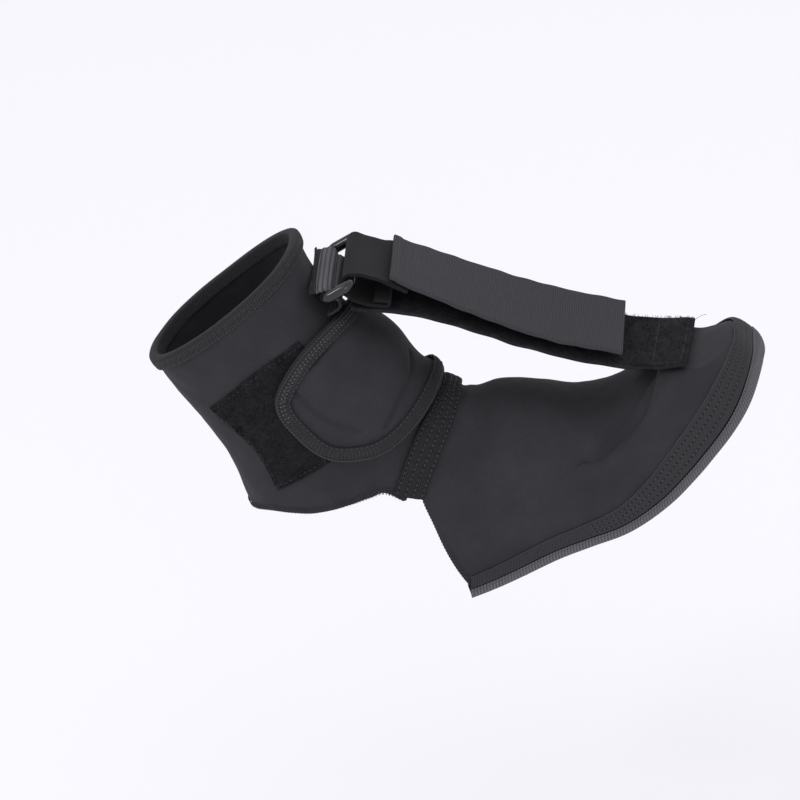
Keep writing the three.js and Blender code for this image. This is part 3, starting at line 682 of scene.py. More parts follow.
# %% Rim edging
TRIM_WALL = 1.1 * MM
RIM_HEIGHT = 4.8 * MM
RIM_TAPE = 0.7 * MM
rim_turns = np.linspace(-180, 180, 361)
rim_top = rim_at_turn(rim_turns)
rim_down = go_along(rim_top, rim_turns, RIM_HEIGHT)
rim_up = unit(body_point(0.0, rim_turns) - body_point(0.02, rim_turns))
rim_outer, rim_inner = RIM_TAPE + 0.5 * MM, -NEOPRENE_WALL - RIM_TAPE - 0.2 * MM
pull = 0.09 * MM * np.cos(np.arange(361) * 2 * np.pi / 3)
rim_rows = []
for share in np.linspace(0, 1, 6):
    bulge = 0.35 * MM * math.sin(math.pi * share)
    rim_rows.append(skin(rim_down + (rim_top - rim_down) * share, rim_turns,
                         rim_outer - 0.3 * MM + bulge + pull))
middle_out, half_out = (rim_outer + rim_inner) / 2, (rim_outer - rim_inner) / 2 - 0.3 * MM
for turn in np.radians(np.linspace(20, 160, 8)):
    over = skin(rim_top, rim_turns, middle_out + half_out * math.cos(turn))
    rim_rows.append(over + rim_up * (RIM_TAPE + 0.3 * MM) * math.sin(turn))
for share in np.linspace(0, 1, 6):
    rim_rows.append(skin(rim_top + (rim_down - rim_top) * share, rim_turns, rim_inner + 0.3 * MM))
rim_grid = np.stack(rim_rows, 0)
rim_middle = rim_grid.mean(0, keepdims=True)
rim_edging = cloth_sheet("rim_edging", rim_grid, RIM_TAPE, ring=True,
                         above=rim_grid + unit(rim_grid - rim_middle) * MM)
dress(rim_edging, "edging", [rim_tape], "cuff_top_binding")


# %% [markdown]
# ## Rows of threads
# Two kinds of row make every seam here: threads that cross from one line to another, as an overlocker
# lays them, and stitches that run along a line, as a straight stitch does.

# %% Thread rows
# pitch, length, width and height of every kind of stitch, in millimetres
STITCHES = {
    "rim": (1.6, 1.3, 0.5, 0.38), "hem chain": (1.5, 1.425, 0.42, 0.36), "patch": (2.6, 1.9, 0.4, 0.3),
    "flap chain": (1.5, 1.6, 0.5, 0.42), "flap inner row": (2.2, 1.5, 0.5, 0.4),
    "flap painted highlight row": (1.9, 1.1, 0.6, 0.42), "instep band": (2.3, 1.5, 0.6, 0.45),
    "sole tape": (2.3, 1.6, 0.55, 0.4), "piping": (1.1, 1.5, 0.8, 0.75), "sole edging": (1.5, 1.4, 0.5, 0.4),
    "keeper": (2.4, 1.7, 0.45, 0.35), "strap box": (2.6, 1.8, 0.45, 0.35),
    "thread end": (0.6, 0.9, 0.22, 0.22), "hook tab": (2.6, 1.9, 0.42, 0.32),
}


def crossing(line_a, line_b, ups, pitch, slant=0.0, width=0.45 * MM, height=0.4 * MM):
    """Threads from line a to line b. slant is how far along the lines each one leans."""
    index = evenly(line_a, pitch)
    step = np.linalg.norm(np.diff(line_a, axis=0), axis=-1).mean()
    a, b = pick(line_a, index), pick(line_b, np.clip(index + slant / step, 0, len(line_b) - 1))
    size = np.linalg.norm(b - a, axis=-1) * 1.12
    return (a + b) / 2, b - a, pick(ups, index), size, width, height


def running(line, ups, kind, slant=0.0, start=0.0):
    """Stitches along a line, each turned from it by a slant in degrees."""
    pitch, length, width, height = (size * MM for size in STITCHES[kind])
    index = evenly(line, pitch, start)
    onward, normals = unit(pick(np.gradient(line, axis=0), index)), unit(pick(ups, index))
    turn = math.radians(slant)
    alongs = onward * math.cos(turn) + np.cross(normals, onward) * math.sin(turn)
    return pick(line, index), alongs, normals, np.full(len(index), length), width, height


def sewn_line(grid, normals, line, wall, kind):
    """Stitches along one line of a band's grid, on its face."""
    return running(grid[line] + normals[line] * wall / 2, normals[line], kind)


def needle_hole_shades(rows, share=1.15):
    """Small dark grains sunk a little into the cloth, one at each end of every stitch: painted shade of the
    holes where the needle went in.
    """
    holes = []
    for centres, alongs, ups, lengths, width, height in rows:
        ends = centres + unit(alongs) * lengths[:, None] / 2 * share - unit(ups) * height * 0.12
        holes.append((ends, alongs, ups, np.full(len(lengths), width * 1.8), width * 2.0, height))
    return holes


rim_low = skin(rim_down - 0.001, rim_turns, rim_outer - 0.2 * MM)
rim_high = skin(rim_top + 0.001, rim_turns, rim_outer - 0.1 * MM)
rim_ups = outward(rim_down, rim_turns)
grains("rim_threads", [
    crossing(rim_low, rim_high, rim_ups, 1.3 * MM, 1.3 * MM, 0.4 * MM, 0.32 * MM),
    running(rim_low, rim_ups, "rim"),
], thread, "edging")

# %% [markdown]
# ## The cuff's hem
# The raw lower edge is overlocked: threads cross the face, go round the cut edge and come back inside.
# The edge gets those three rows of threads, so that it looks finished from below too.

# %% Hem threads
def hem_threads(name, at, around, side, depth, material):
    pitch = STITCHES["hem chain"][0] * MM
    at, around = even_line(at, around, 1.0 * MM)
    ups = outward(at, around)
    inner_at, inner_around = beside(at, around, depth, side)
    edge, inside = skin(at, around, 0.15 * MM), skin(inner_at, inner_around, 0.15 * MM)
    outer_row = crossing(inside, edge, ups, pitch, pitch * 0.8, 0.4 * MM, 0.34 * MM)
    down = skin(at, around, -NEOPRENE_WALL - 0.1 * MM)
    back = unit(edge - inside)
    wrap = crossing(edge + back * 0.12 * MM, down + back * 0.12 * MM, back, pitch, 0.0, 0.42 * MM, 0.4 * MM)
    under = skin(inner_at, inner_around, -NEOPRENE_WALL - 0.15 * MM)
    inner_row = crossing(down, under, -ups, pitch, pitch * 0.8, 0.4 * MM, 0.34 * MM)
    chain = running(inside, ups, "hem chain")
    return grains(name, [outer_row, wrap, inner_row, chain], material, "neoprene")


hem_turns = np.linspace(76, 284, 300)
hem_wrapped = np.where(hem_turns > 180, hem_turns - 360, hem_turns)
hem_at = soften(cuff_hem(hem_wrapped), 10)
hem_threads("cuff_hem_threads", hem_at, hem_turns, 1, 2.6 * MM, overlock_thread)


# %% [markdown]
# ## The loop patch
# A rectangle of brushed loop cloth is sewn to the cuff's side for the flap to grip. Its loops are much too
# small to model one by one, so the cloth gets a rough pile and a few thousand short fibres that stand out.

# %% Loop patch
PATCH_WALL = 0.9 * MM
PATCH_EDGES = [
    # along, upper, upper turn, lower, lower turn
    (0, 0.09, -58, 0.272, -60),
    (0.5, 0.095, -97, 0.275, -93),
    (1, 0.114, -133, 0.269, -125),
]
patch_along, patch_share = np.meshgrid(np.linspace(0, 1, 90), np.linspace(0, 1, 100), indexing="ij")


def patch_place(along, share):
    upper, upper_turn, lower, lower_turn = (follow(PATCH_EDGES, column, along) for column in (1, 2, 3, 4))
    return upper + (lower - upper) * share, uneven(upper_turn + (lower_turn - upper_turn) * share)


def fibres(name, roots, ups, length, material, slot, seed, lean=0.9, thick=0.12 * MM):
    """Short hairs of pile, each a thin cone that leans its own way."""
    chance = np.random.default_rng(seed)
    ways = unit(ups + chance.normal(0, lean, ups.shape))
    ways = unit(np.where((ways * ups).sum(-1, keepdims=True) < 0.15, ways + 1.3 * ups, ways))
    sides = unit(np.cross(ways, ups + 0.01))
    sizes = length * chance.uniform(0.5, 1.2, (len(ups), 1))
    middles = roots + ways * sizes / 2
    places = np.stack([sides * thick, np.cross(ways, sides) * thick, ways * sizes, middles], -1)
    cone = {"segments": 3, "cap_ends": True, "radius1": 1.0, "radius2": 0.4, "depth": 1.0}
    piece = repeat(name, lambda bm: bmesh.ops.create_cone(bm, **cone), places)
    return dress(piece, slot, [material])


patch_at, patch_around = patch_place(patch_along, patch_share)
patch_edge = np.minimum.reduce([patch_along, 1 - patch_along, patch_share, 1 - patch_share])
patch_out = FIT + PATCH_WALL - 0.4 * MM * np.exp(-patch_edge / 0.03)
patch_out = patch_out + cuff_dents(patch_at, patch_around) + rng.normal(0, 0.035 * MM, patch_out.shape)
patch, patch_points = body_cloth("patch_pile", patch_at, patch_around, patch_out, PATCH_WALL, "loop_pile",
                                 [patch_pile], "loop_patch")
count = 3600
spot_along, spot_share = rng.uniform(0.12, 0.995, count), rng.uniform(0.005, 0.995, count)
spot_at, spot_around = patch_place(spot_along, spot_share)
spot_out = FIT + PATCH_WALL - 0.1 * MM + cuff_dents(spot_at, spot_around)
fibres("patch_fibres", skin(spot_at, spot_around, spot_out), outward(spot_at, spot_around), 0.8 * MM,
       patch_pile, "loop_pile", 11)
edge_share = np.linspace(0.0, 1, 120)
edge_lines = []
for inset_along, inset_share in ((None, 0.035), (None, 0.965), (0.97, None)):
    along_line = edge_share if inset_along is None else np.full(120, inset_along)
    share_line = np.full(120, inset_share) if inset_share is not None else edge_share
    line_at, line_around = patch_place(along_line, share_line)
    line = skin(line_at, line_around, FIT + PATCH_WALL + cuff_dents(line_at, line_around))
    edge_lines.append(running(line, outward(line_at, line_around), "patch"))
grains("patch_stitches", edge_lines, overlock_thread, "loop_pile")

# %% [markdown]
# ## The closing flap
# Two layers of foam cloth with the hook cloth sewn beneath, so its face is slightly crowned and the outline
# of that hook cloth shows through as pressed lines. Its edge is pinched by the edging all round.

# %% Closing flap
FLAP_WALL = 3 * MM
PATCH_TOP = FIT + PATCH_WALL + FIT
FLAP_EDGES = [
    # turn away from the front, top, bottom
    (-62, 0.15, 0.33), (-30, 0.128, 0.34), (0, 0.113, 0.345), (32, 0.104, 0.34), (51, 0.102, 0.334),
    (65, 0.102, 0.325), (80, 0.104, 0.307), (97, 0.108, 0.294),
]
FLAP_ROUND_FROM, FLAP_ROUND_TO, FLAP_ROUNDNESS = 40, 98.7, 2.3


def flap_place(turn, share):
    """The flap's straight edges come from the table, and its end rounds off as a blunt oval."""
    top, bottom = follow(FLAP_EDGES, 1, turn), follow(FLAP_EDGES, 2, turn)
    past = np.clip((turn - FLAP_ROUND_FROM) / (FLAP_ROUND_TO - FLAP_ROUND_FROM), 0, 0.9996)
    half = (bottom - top) / 2 * (1 - past**FLAP_ROUNDNESS) ** (1 / FLAP_ROUNDNESS)
    return (top + bottom) / 2 + half * (2 * share - 1), -uneven(turn)


def body_line(places, count=40):
    """Points along a few places on the body, joined smoothly."""
    places = np.array(places, float)
    keys = np.linspace(0, 1, len(places))
    marks = np.linspace(0, 1, count)
    return tuple(follow(np.column_stack([keys, places]), column, marks) for column in (1, 2))


PRESSED_LINES = [
    [(0.108, -29), (0.117, -48), (0.126, -68)],
    [(0.24, -3), (0.255, -22), (0.266, -38.5), (0.278, -49), (0.288, -58)],
    [(0.15, -84), (0.215, -83), (0.262, -71)],
]
round_shares = np.sin(np.radians(np.linspace(0, 89.5, 80)))
end_turns = FLAP_ROUND_FROM + (FLAP_ROUND_TO - FLAP_ROUND_FROM) * round_shares
flap_turn = np.concatenate([np.linspace(-62, FLAP_ROUND_FROM, 105)[:-1], end_turns])
flap_share = (1 - np.cos(np.linspace(0, np.pi, 110))) / 2
flap_t, flap_s = np.meshgrid(flap_turn, flap_share, indexing="ij")
flap_at, flap_around = flap_place(flap_t, flap_s)
flap_base = skin(flap_at, flap_around)
outline_points = np.concatenate([skin(*flap_place(flap_turn, side)) for side in (0.0, 1.0)])
from_edge = np.min([np.linalg.norm(flap_base - mark, axis=-1) for mark in outline_points], axis=0)
pinch = 1.0 * MM * np.exp(-from_edge / (4.5 * MM))
crown = 0.9 * MM * (1 - np.exp(-from_edge / (13 * MM)))
flap_out = PATCH_TOP + FLAP_WALL + crown - pinch + waves(flap_at, flap_around, 0.22 * MM, (2, 9), (3, 12), 5)
flap_out = flap_out - 1.3 * ankle_hollow(flap_at, flap_around)
for line in PRESSED_LINES:
    flap_out = flap_out - press(flap_base, skin(*body_line(line)), 1.2 * MM, 1.1 * MM)
flap, flap_points = body_cloth("flap_cloth", flap_at, flap_around, flap_out, FLAP_WALL, "neoprene",
                               [neoprene, lining], "closure_flap")

# %% [markdown]
# ## The flap's edging
# A ribbed overlock tape goes all round the flap: cross threads lie side by side like the rungs of a ladder,
# with a chain on the outer edge and a straight row of stitches on the inner one. Along the upper edge, where
# it catches the light, two slanted rows get a lighter thread colour: a painted highlight.

# %% Flap edging
top_line, bottom_line = flap_place(flap_turn, 0.0), flap_place(flap_turn, 1.0)
end_line = flap_place(np.full(8, flap_turn[-1]), np.linspace(0, 1, 8))
outline_at = np.concatenate([top_line[0], end_line[0][1:-1], bottom_line[0][::-1]])
outline_around = np.concatenate([top_line[1], end_line[1][1:-1], bottom_line[1][::-1]])
outline_at, outline_around = even_line(outline_at, outline_around, 0.5 * MM)
outline_at, outline_around = soften(outline_at, 12), soften(outline_around, 12)
edging_top = PATCH_TOP + FLAP_WALL + 0.35 * MM + TRIM_WALL
# millimetres across from the flap's edge and above the edging's top, from its inner side over and down
EDGING_PROFILE = [
    (5.5, -0.45), (4.9, -0.1), (3.8, 0.1), (2.6, 0.1), (1.0, 0.0), (-0.3, -0.35), (-1.2, -1.1), (-1.5, -2.1),
    (-1.4, -3.2),
]
edging_profile = [(across * MM, edging_top + rise * MM) for across, rise in EDGING_PROFILE]
edging_profile.append((-1.1 * MM, PATCH_TOP + 0.2 * MM))
edging_grid = strip(outline_at, outline_around, edging_profile)
edging_above = strip(outline_at, outline_around, [
    (across, out + MM) if across > 0 else (across - MM, out + 0.3 * MM) for across, out in edging_profile])
ladder = 0.12 * MM * np.cos(np.arange(len(outline_at)) * 2 * np.pi / 3)[:, None, None]
edging_grid = edging_grid + unit(edging_above - edging_grid) * ladder
flap_edging = cloth_sheet("flap_edging", edging_grid, 0.8 * MM, above=edging_above)
dress(flap_edging, "edging", [edging], "flap_binding")


def flap_line(across, out):
    return skin(*beside(outline_at, outline_around, across), out)


flap_ups = outward(outline_at, outline_around)
grains("flap_edging_threads", [
    crossing(flap_line(4.8 * MM, edging_top), flap_line(-0.1 * MM, edging_top - 0.15 * MM), flap_ups,
             1.5 * MM, 0.7 * MM, 0.62 * MM, 0.5 * MM),
    crossing(flap_line(-0.3 * MM, edging_top - 0.3 * MM), flap_line(-1.5 * MM, edging_top - 2.4 * MM),
             unit(flap_line(-2 * MM, edging_top - MM) - flap_line(0, edging_top - 2 * MM)), 1.5 * MM, 0.0,
             0.6 * MM, 0.45 * MM),
], overlock_thread, "edging")
grains("flap_edging_chain", [
    running(flap_line(-0.25 * MM, edging_top - 0.1 * MM), flap_ups, "flap chain"),
    running(flap_line(4.9 * MM, edging_top), flap_ups, "flap inner row"),
], thread, "edging")
# the lighter thread on these two rows, only along the lit upper edge, is a painted highlight
highlight_end = int(len(outline_at) * 0.45)
grains("flap_edging_painted_highlight", [
    running(flap_line(across, edging_top + 0.15 * MM)[:highlight_end], flap_ups[:highlight_end], "flap painted highlight row",
            slant, across / 3)
    for across, slant in ((1.3 * MM, 35), (2.6 * MM, -35))
], light_thread, "edging")

# %% [markdown]
# ## The foot sleeve
# One piece of foam cloth closes over the toes. The strap's pull lifts the toes, so a long crease runs from
# beside the strap's end down to the sole, and the cloth stands up in a soft roll in front of it.

# %% Foot sleeve
SOLE_REAR = 0.52
SLEEVE_HEM = [(62, 0.408), (69, 0.436), (74, 0.462), (80, 0.485), (86, 0.506), (90, 0.52)]
SLEEVE_TURN = SEAM[-2][0]


def sleeve_hem(around):
    reach = np.abs(around)
    return np.where(reach <= SLEEVE_TURN, seam(around, FIT / 2), follow(SLEEVE_HEM, 1, reach))


def sleeve_dents(at, around):
    dents = waves(at, around, 0.3 * MM, (2, 7), (2, 9), 8)
    dents = dents + waves(at, around, 0.08 * MM, (8, 24), (10, 34), 9)
    to_band = np.maximum(0, (at - sleeve_hem(around)) * FOOT_REACH * 1.2)
    front = np.exp(-((around / 60) ** 4)) * np.exp(-to_band / (9 * MM))
    gathers = np.cos(np.radians(around) * 22 + at * 30) * front * 0.28 * MM
    closing = np.clip((1 - at) / 0.05, 0, 1)
    return (dents + gathers) * closing


sleeve_turns = np.linspace(-90, 90, 193)
toe_share = (TOE_START - SOLE_REAR) / (1 - SOLE_REAR)
toe_turns = np.radians(np.linspace(0, 90, 60)[1:])
toe_shares = toe_share + (1 - toe_share) * np.sin(toe_turns)
foot_shares = np.concatenate([np.linspace(0, toe_share, 90), toe_shares])
hem = sleeve_hem(sleeve_turns)
sleeve_at = hem + (1 - hem) * foot_shares[:, None]
rim_around = go_round(sleeve_at, np.full(sleeve_at.shape, 90.0), -FIT / 2)
sleeve_around = np.sign(sleeve_turns) * np.minimum(np.abs(sleeve_turns), rim_around)
sleeve_out = sleeve_dents(sleeve_at, sleeve_around)
# places as (at, degrees from the front line), then in millimetres the depth, and how widely the cloth goes
# in behind the line and ahead of it. The second one is the roll that stands up in front of the crease.
BOTH_SIDES = [
    ([(0.884, 21), (0.863, 33), (0.842, 42), (0.795, 47), (0.716, 55)], 2.2, 7.0, 1.7),
    ([(0.905, 24), (0.884, 36), (0.861, 45), (0.815, 51), (0.74, 59)], -0.6, 3.0, 3.0),
]
NEAR_SIDE = [([(0.72, 52), (0.67, 60), (0.62, 66)], 0.5, 3.0, 3.0)]
sleeve_base = skin(sleeve_at, sleeve_around)
for side, creases in ((-1, BOTH_SIDES + NEAR_SIDE), (1, BOTH_SIDES)):
    for line, depth, behind, ahead in creases:
        crease_at, crease_around = body_line(line, 240)
        dent = tucked(sleeve_base, crease_at, side * crease_around, depth * MM, behind * MM, ahead * MM)
        sleeve_out = sleeve_out - dent
sleeve, sleeve_points = body_cloth("sleeve_cloth", sleeve_at, sleeve_around, sleeve_out, NEOPRENE_WALL,
                                   "neoprene", [neoprene, lining], "foot_sleeve", closed_nose=True)
for name, rear_turns in (("near", np.linspace(-88, -64, 60)), ("far", np.linspace(64, 88, 60))):
    hem_threads("sleeve_" + name + "_threads", sleeve_hem(rear_turns), rear_turns, -1, 2.4 * MM,
                overlock_thread)

# %% [markdown]
# ## The instep band
# A woven tape covers the seam between cuff and sleeve, held by four rows of straight stitches.
# It narrows over the instep, where the bent ankle bunches it, and each row of stitches pulls a fine channel.

# %% Instep band
BAND_WIDTH = 16 * MM
BAND_CUT = 8.5
BAND_WALL = 0.9 * MM
band_shares = np.linspace(0, 1, 41)


def band_place(share):
    """Places along the band at a share of its width. Its ends are cut along the opening's edge."""
    turns = np.linspace(-1, 1, 300) * (SEAM_END + 2 - BAND_CUT * share)
    half = BAND_WIDTH / 2 * follow(SEAM, 2, np.abs(turns))
    return go_along(seam(turns), turns, (2 * share - 1) * half), turns


band_at, band_around = (np.stack(rows) for rows in zip(*(band_place(share) for share in band_shares)))
STITCH_SHARES = [0.1, 0.37, 0.63, 0.9]
channels = sum(np.exp(-((band_shares - s) / 0.035) ** 2) for s in STITCH_SHARES)[:, None]
band_waves = 0.16 * MM * np.cos(np.arange(300) * 2 * np.pi / 9 + band_shares[:, None] * 4)
band_edge = np.exp(-np.minimum(band_shares, 1 - band_shares) / 0.03)[:, None]
band_out = FIT + TRIM_WALL + 0.25 * MM - 0.28 * MM * channels - 0.4 * MM * band_edge + band_waves
band, band_points = body_cloth("instep_tape", band_at, band_around, band_out, BAND_WALL, "webbing",
                               [webbing], "instep_band")
band_rows = []
for s in STITCH_SHARES:
    place = band_place(s)
    line = skin(*place, FIT + TRIM_WALL + 0.15 * MM)
    band_rows.append(running(line, outward(*place), "instep band", start=s * MM))
grains("instep_tape_stitches", band_rows, thread, "webbing")
grains("instep_tape_hole_shades", needle_hole_shades(band_rows), needle_hole_shade, "webbing")

# %% [markdown]
# ## The sole
# A sheet of close-woven cloth under the foot, wrapped up a little at its sides to meet the upper.

# %% Sole
SOLE_WALL = 4 * MM
foot_stations = SOLE_REAR + (1 - SOLE_REAR) * foot_shares
sole_edge = go_round(foot_stations, np.full(foot_stations.shape, 90.0), FIT / 2)
sole_shares = np.linspace(0, 1, 91)
sole_around = sole_edge[:, None] + (360 - 2 * sole_edge[:, None]) * sole_shares
sole_at = np.broadcast_to(foot_stations[:, None], sole_around.shape)
sole_out = waves(sole_at, sole_around, 0.12 * MM, (3, 9), (3, 12), 15) * np.sin(np.pi * sole_shares)
sole, sole_points = body_cloth("sole_sheet", sole_at, sole_around, sole_out, SOLE_WALL, "sole_cloth",
                               [sole_weave, lining], "sole", closed_nose=True)

# %% [markdown]
# ## The tape round the foot of the upper
# A woven tape stiffens the edge of the upper. It is plain along the arch, carries three rows of stitches
# from the ball of the foot forward, and has a fine rolled edge on top.

# %% Sole tape
TAPE_WALL = 1 * MM
TAPE_HEIGHT = 12.5 * MM
TAPE_STITCH_SHARES = (0.2, 0.5, 0.8)
TAPE_STITCHED_FROM = 0.675
TAPE_HEIGHTS = [
    # at, share of the full height
    (0.52, 0.4), (0.6, 0.42), (0.66, 0.45), (0.72, 0.58), (0.78, 0.78), (0.85, 0.94), (0.92, 1.0),
    (1.0, 0.88),
]
rim_at = np.concatenate([foot_stations, foot_stations[::-1]])
rim_side = np.concatenate([-np.ones(len(foot_stations)), np.ones(len(foot_stations))])
rim_ninety = np.full(rim_at.shape, 90.0)
tape_high = go_round(rim_at, rim_ninety, -TAPE_HEIGHT * follow(TAPE_HEIGHTS, 1, rim_at))
tape_low = go_round(rim_at, rim_ninety, -FIT / 2)
tape_shares = np.linspace(0, 1, 25)


def rim_line(high, low, share, out):
    """A line round the foot at a share of the way from high to low, and its ways out."""
    around = rim_side * (high + (low - high) * share)
    return skin(rim_at, around, out), outward(rim_at, around)


def rim_strip(high, low, shares, outs):
    """A grid of such lines, each at its own distance out."""
    return np.stack([rim_line(high, low, share, out)[0] for share, out in zip(shares, outs)], 1)


tape_edge = np.exp(-tape_shares / 0.05)
tape_channels = sum(np.exp(-((tape_shares - s) / 0.05) ** 2) for s in TAPE_STITCH_SHARES)
tape_outs = FIT + TAPE_WALL + 0.1 * MM - 0.2 * MM * tape_channels - 0.3 * MM * tape_edge
tape = cloth_sheet("upper_tape", rim_strip(tape_high, tape_low, tape_shares, tape_outs), 0.85 * MM,
                   above=rim_strip(tape_high, tape_low, tape_shares, tape_outs + MM))
dress(tape, "webbing", [tape_weave], "sole_tape")
stitched = np.flatnonzero(rim_at > TAPE_STITCHED_FROM)
tape_rows = []
for s in TAPE_STITCH_SHARES:
    line, ups = rim_line(tape_high, tape_low, s, FIT + TAPE_WALL)
    tape_rows.append(running(line[stitched], ups[stitched], "sole tape", start=s * MM))
grains("upper_tape_stitches", tape_rows, thread, "webbing")
grains("upper_tape_hole_shades", needle_hole_shades(tape_rows), needle_hole_shade, "webbing")
piping_line, piping_ups = rim_line(tape_high, tape_low, -0.02, FIT + 0.35 * MM)
grains("upper_tape_piping", [running(piping_line, piping_ups, "piping")], thread, "webbing")

# %% [markdown]
# ## The sole's edging
# The cut edges of sole and upper are closed by a ribbed tape that turns in under the sole. Cross threads
# about a millimetre and a half apart give its rungs.

# %% Sole edging
SOLE_WRAP = 3.4 * MM
binding_top = go_round(rim_at, rim_ninety, FIT / 2)
binding_under = go_round(rim_at, rim_ninety, SOLE_EDGE + SOLE_WRAP)
binding_shares = np.linspace(0, 1, 17)
binding_rounding = np.exp(-binding_shares / 0.06) + np.exp(-(1 - binding_shares) / 0.06)
binding_outs = FIT + TRIM_WALL + 0.15 * MM - 0.35 * MM * binding_rounding
binding_grid = rim_strip(binding_top, binding_under, binding_shares, binding_outs)
binding = cloth_sheet("sole_edging", binding_grid, 0.9 * MM,
                      above=rim_strip(binding_top, binding_under, binding_shares, binding_outs + MM))
dress(binding, "edging", [sole_trim], "sole_binding")
(high, high_ups), (mid, mid_ups), (low, low_ups) = (
    rim_line(binding_top, binding_under, share, FIT + TRIM_WALL + rise * MM)
    for share, rise in ((0.06, 0.1), (0.5, 0.1), (0.94, 0.0)))
RUNG = (1.5 * MM, 0.5 * MM, 0.6 * MM, 0.5 * MM)
grains("sole_edging_threads", [
    crossing(high, mid, (high_ups + mid_ups) / 2, *RUNG),
    crossing(mid, low, (mid_ups + low_ups) / 2, *RUNG),
    running(high, high_ups, "sole edging"),
], light_thread, "edging")

# %% [markdown]
# ## The ring
# A moulded rectangular ring with round corners. A rod's section is carried round its outline; the grid
# closes both ways, so the ring has no seam.

# %% Ring
STRAP_WIDTH = 50 * MM
STRAP_WALL = 2 * MM
RING_ROD = 4 * MM
RING_PLAY = 2 * MM
RING_LENGTH = STRAP_WIDTH + 2 * (RING_PLAY + RING_ROD)
RING_WIDTH = 17 * MM
RING_CORNER = 3 * MM
RING_TILT = math.radians(31)
RING_STAND = 3.8 * MM
RING_AT = 0.058
ARM_TALL = 0.25
RING_SAG = 1.5 * MM
inner_bar = skin(RING_AT, 0.0, RING_STAND + RING_ROD / 2) - np.array([0, 0, RING_SAG])
ring_across = np.array([math.cos(RING_TILT), 0, math.sin(RING_TILT)])
ring_up = np.array([-math.sin(RING_TILT), 0, math.cos(RING_TILT)])
outer_bar = inner_bar + ring_across * (RING_WIDTH - RING_ROD)
ring_centre = (inner_bar + outer_bar) / 2
reach, half_length = (RING_WIDTH - RING_ROD) / 2 - RING_CORNER, (RING_LENGTH - RING_ROD) / 2 - RING_CORNER
ring_rows = []
sections_round = np.radians(np.linspace(0, 360, 25))
for sx, sy, start in ((1, 1, 0), (-1, 1, 90), (-1, -1, 180), (1, -1, 270)):
    for turn in np.radians(np.linspace(start, start + 90, 12)):
        away = ring_across * math.cos(turn) + np.array([0, math.sin(turn), 0])
        corner = ring_centre + ring_across * sx * reach + np.array([0, sy * half_length, 0])
        middle = corner + away * RING_CORNER
        flat = RING_ROD / 2 * (1 + 0.06 * np.cos(2 * sections_round))
        tall = RING_ROD / 2 * (1 + ARM_TALL * abs(math.sin(turn)) ** 2)
        ring_rows.append(middle + away * (flat * np.cos(sections_round))[:, None]
                         + ring_up * (tall * np.sin(sections_round))[:, None])
ring_grid = np.array(ring_rows + ring_rows[:1])
ring_middles = ring_grid[:, :-1].mean(1, keepdims=True)
ring = cloth_sheet("ring_rod", ring_grid, 0, ring=True,
                   above=ring_grid + unit(ring_grid - ring_middles) * MM)
dress(ring, "ring_plastic", [ring_plastic], "buckle_ring")

# %% [markdown]
# ## The keeper
# A short ribbed webbing goes over the ring's inner bar and is sewn to the cuff above and below it. Its
# ribs run parallel to the bar and are thick enough to be part of its shape. Its two ends lie in the shade
# beside the ring, so they get the darker plain webbing as painted shade, and its lower layer hangs a little
# loose, as in the photo.

# %% Keeper
KEEPER_FOOT = 1.6 * MM
KEEPER_LOWER = 10.5 * MM
KEEPER_FLAT = 0.93
# where the lower end is sewn on, the loose layer's places out from the bar and down from it in millimetres,
# and the degrees round the bar over which the webbing touches it
KEEPER_SEWN_BELOW = 7 * MM
KEEPER_LOOSE = [(3.0, 7.6), (4.4, 4.4)]
KEEPER_TURNS = (35, -90)
KEEPER_STITCH_ROW = 143
keeper_wrap = RING_ROD / 2 + FIT + TRIM_WALL / 2
keeper_out = outward(RING_AT, 0.0)
keeper_down = np.array([keeper_out[2], 0, -keeper_out[0]])
keeper_y = np.linspace(-STRAP_WIDTH / 2, STRAP_WIDTH / 2, 61)


def on_cuff(distance):
    """A row of the foot. Its middle lies on the cuff, and its ends stay nearly flat, as in stiff webbing."""
    at = go_along(np.full(61, RING_AT), 0.0, distance)
    row = skin(at, around_at(at, keeper_y), 2 * FIT + TRIM_WALL / 2)
    flat = np.stack([np.full(61, row[30, 0]), keeper_y, np.full(61, row[30, 2])], -1)
    return row + (flat - row) * KEEPER_FLAT


def off_bar(out, down):
    """A straight row of the hanging lower layer, in millimetres from the bar's middle."""
    middle = inner_bar + keeper_out * out * MM + keeper_down * down * MM
    return np.stack([np.full(61, middle[0]), keeper_y, np.full(61, middle[2])], -1)


def round_bar(turn):
    middle = inner_bar + keeper_wrap * (keeper_out * math.cos(turn) + keeper_down * math.sin(turn))
    return np.stack([np.full(61, middle[0]), keeper_y, np.full(61, middle[2])], -1)


keeper_rows = [on_cuff(keeper_wrap + KEEPER_SEWN_BELOW)]
keeper_rows += [off_bar(out, down) for out, down in KEEPER_LOOSE]
keeper_rows += [round_bar(turn) for turn in np.radians(np.linspace(*KEEPER_TURNS, 10))]
keeper_rows += [on_cuff(-keeper_wrap - KEEPER_FOOT * k) for k in (0, 0.5, 1)]
keeper_grid = smooth_rows(np.array(keeper_rows), 150)
keeper_normals = grid_normals(keeper_grid)
if (keeper_normals[75] @ keeper_out).mean() < 0:
    keeper_normals = -keeper_normals
keeper_length = np.linalg.norm(np.diff(keeper_grid[:, 30], axis=0), axis=-1).sum()
ribs = 0.16 * MM * np.cos(2 * np.pi * np.linspace(0, keeper_length, 150) / (2.2 * MM))[:, None, None]
keeper = cloth_sheet("keeper_webbing", keeper_grid + keeper_normals * ribs, TRIM_WALL, offset=0.0,
                     above=keeper_grid + keeper_normals * MM)
dress(keeper, "webbing", [keeper_webbing], "ring_keeper")
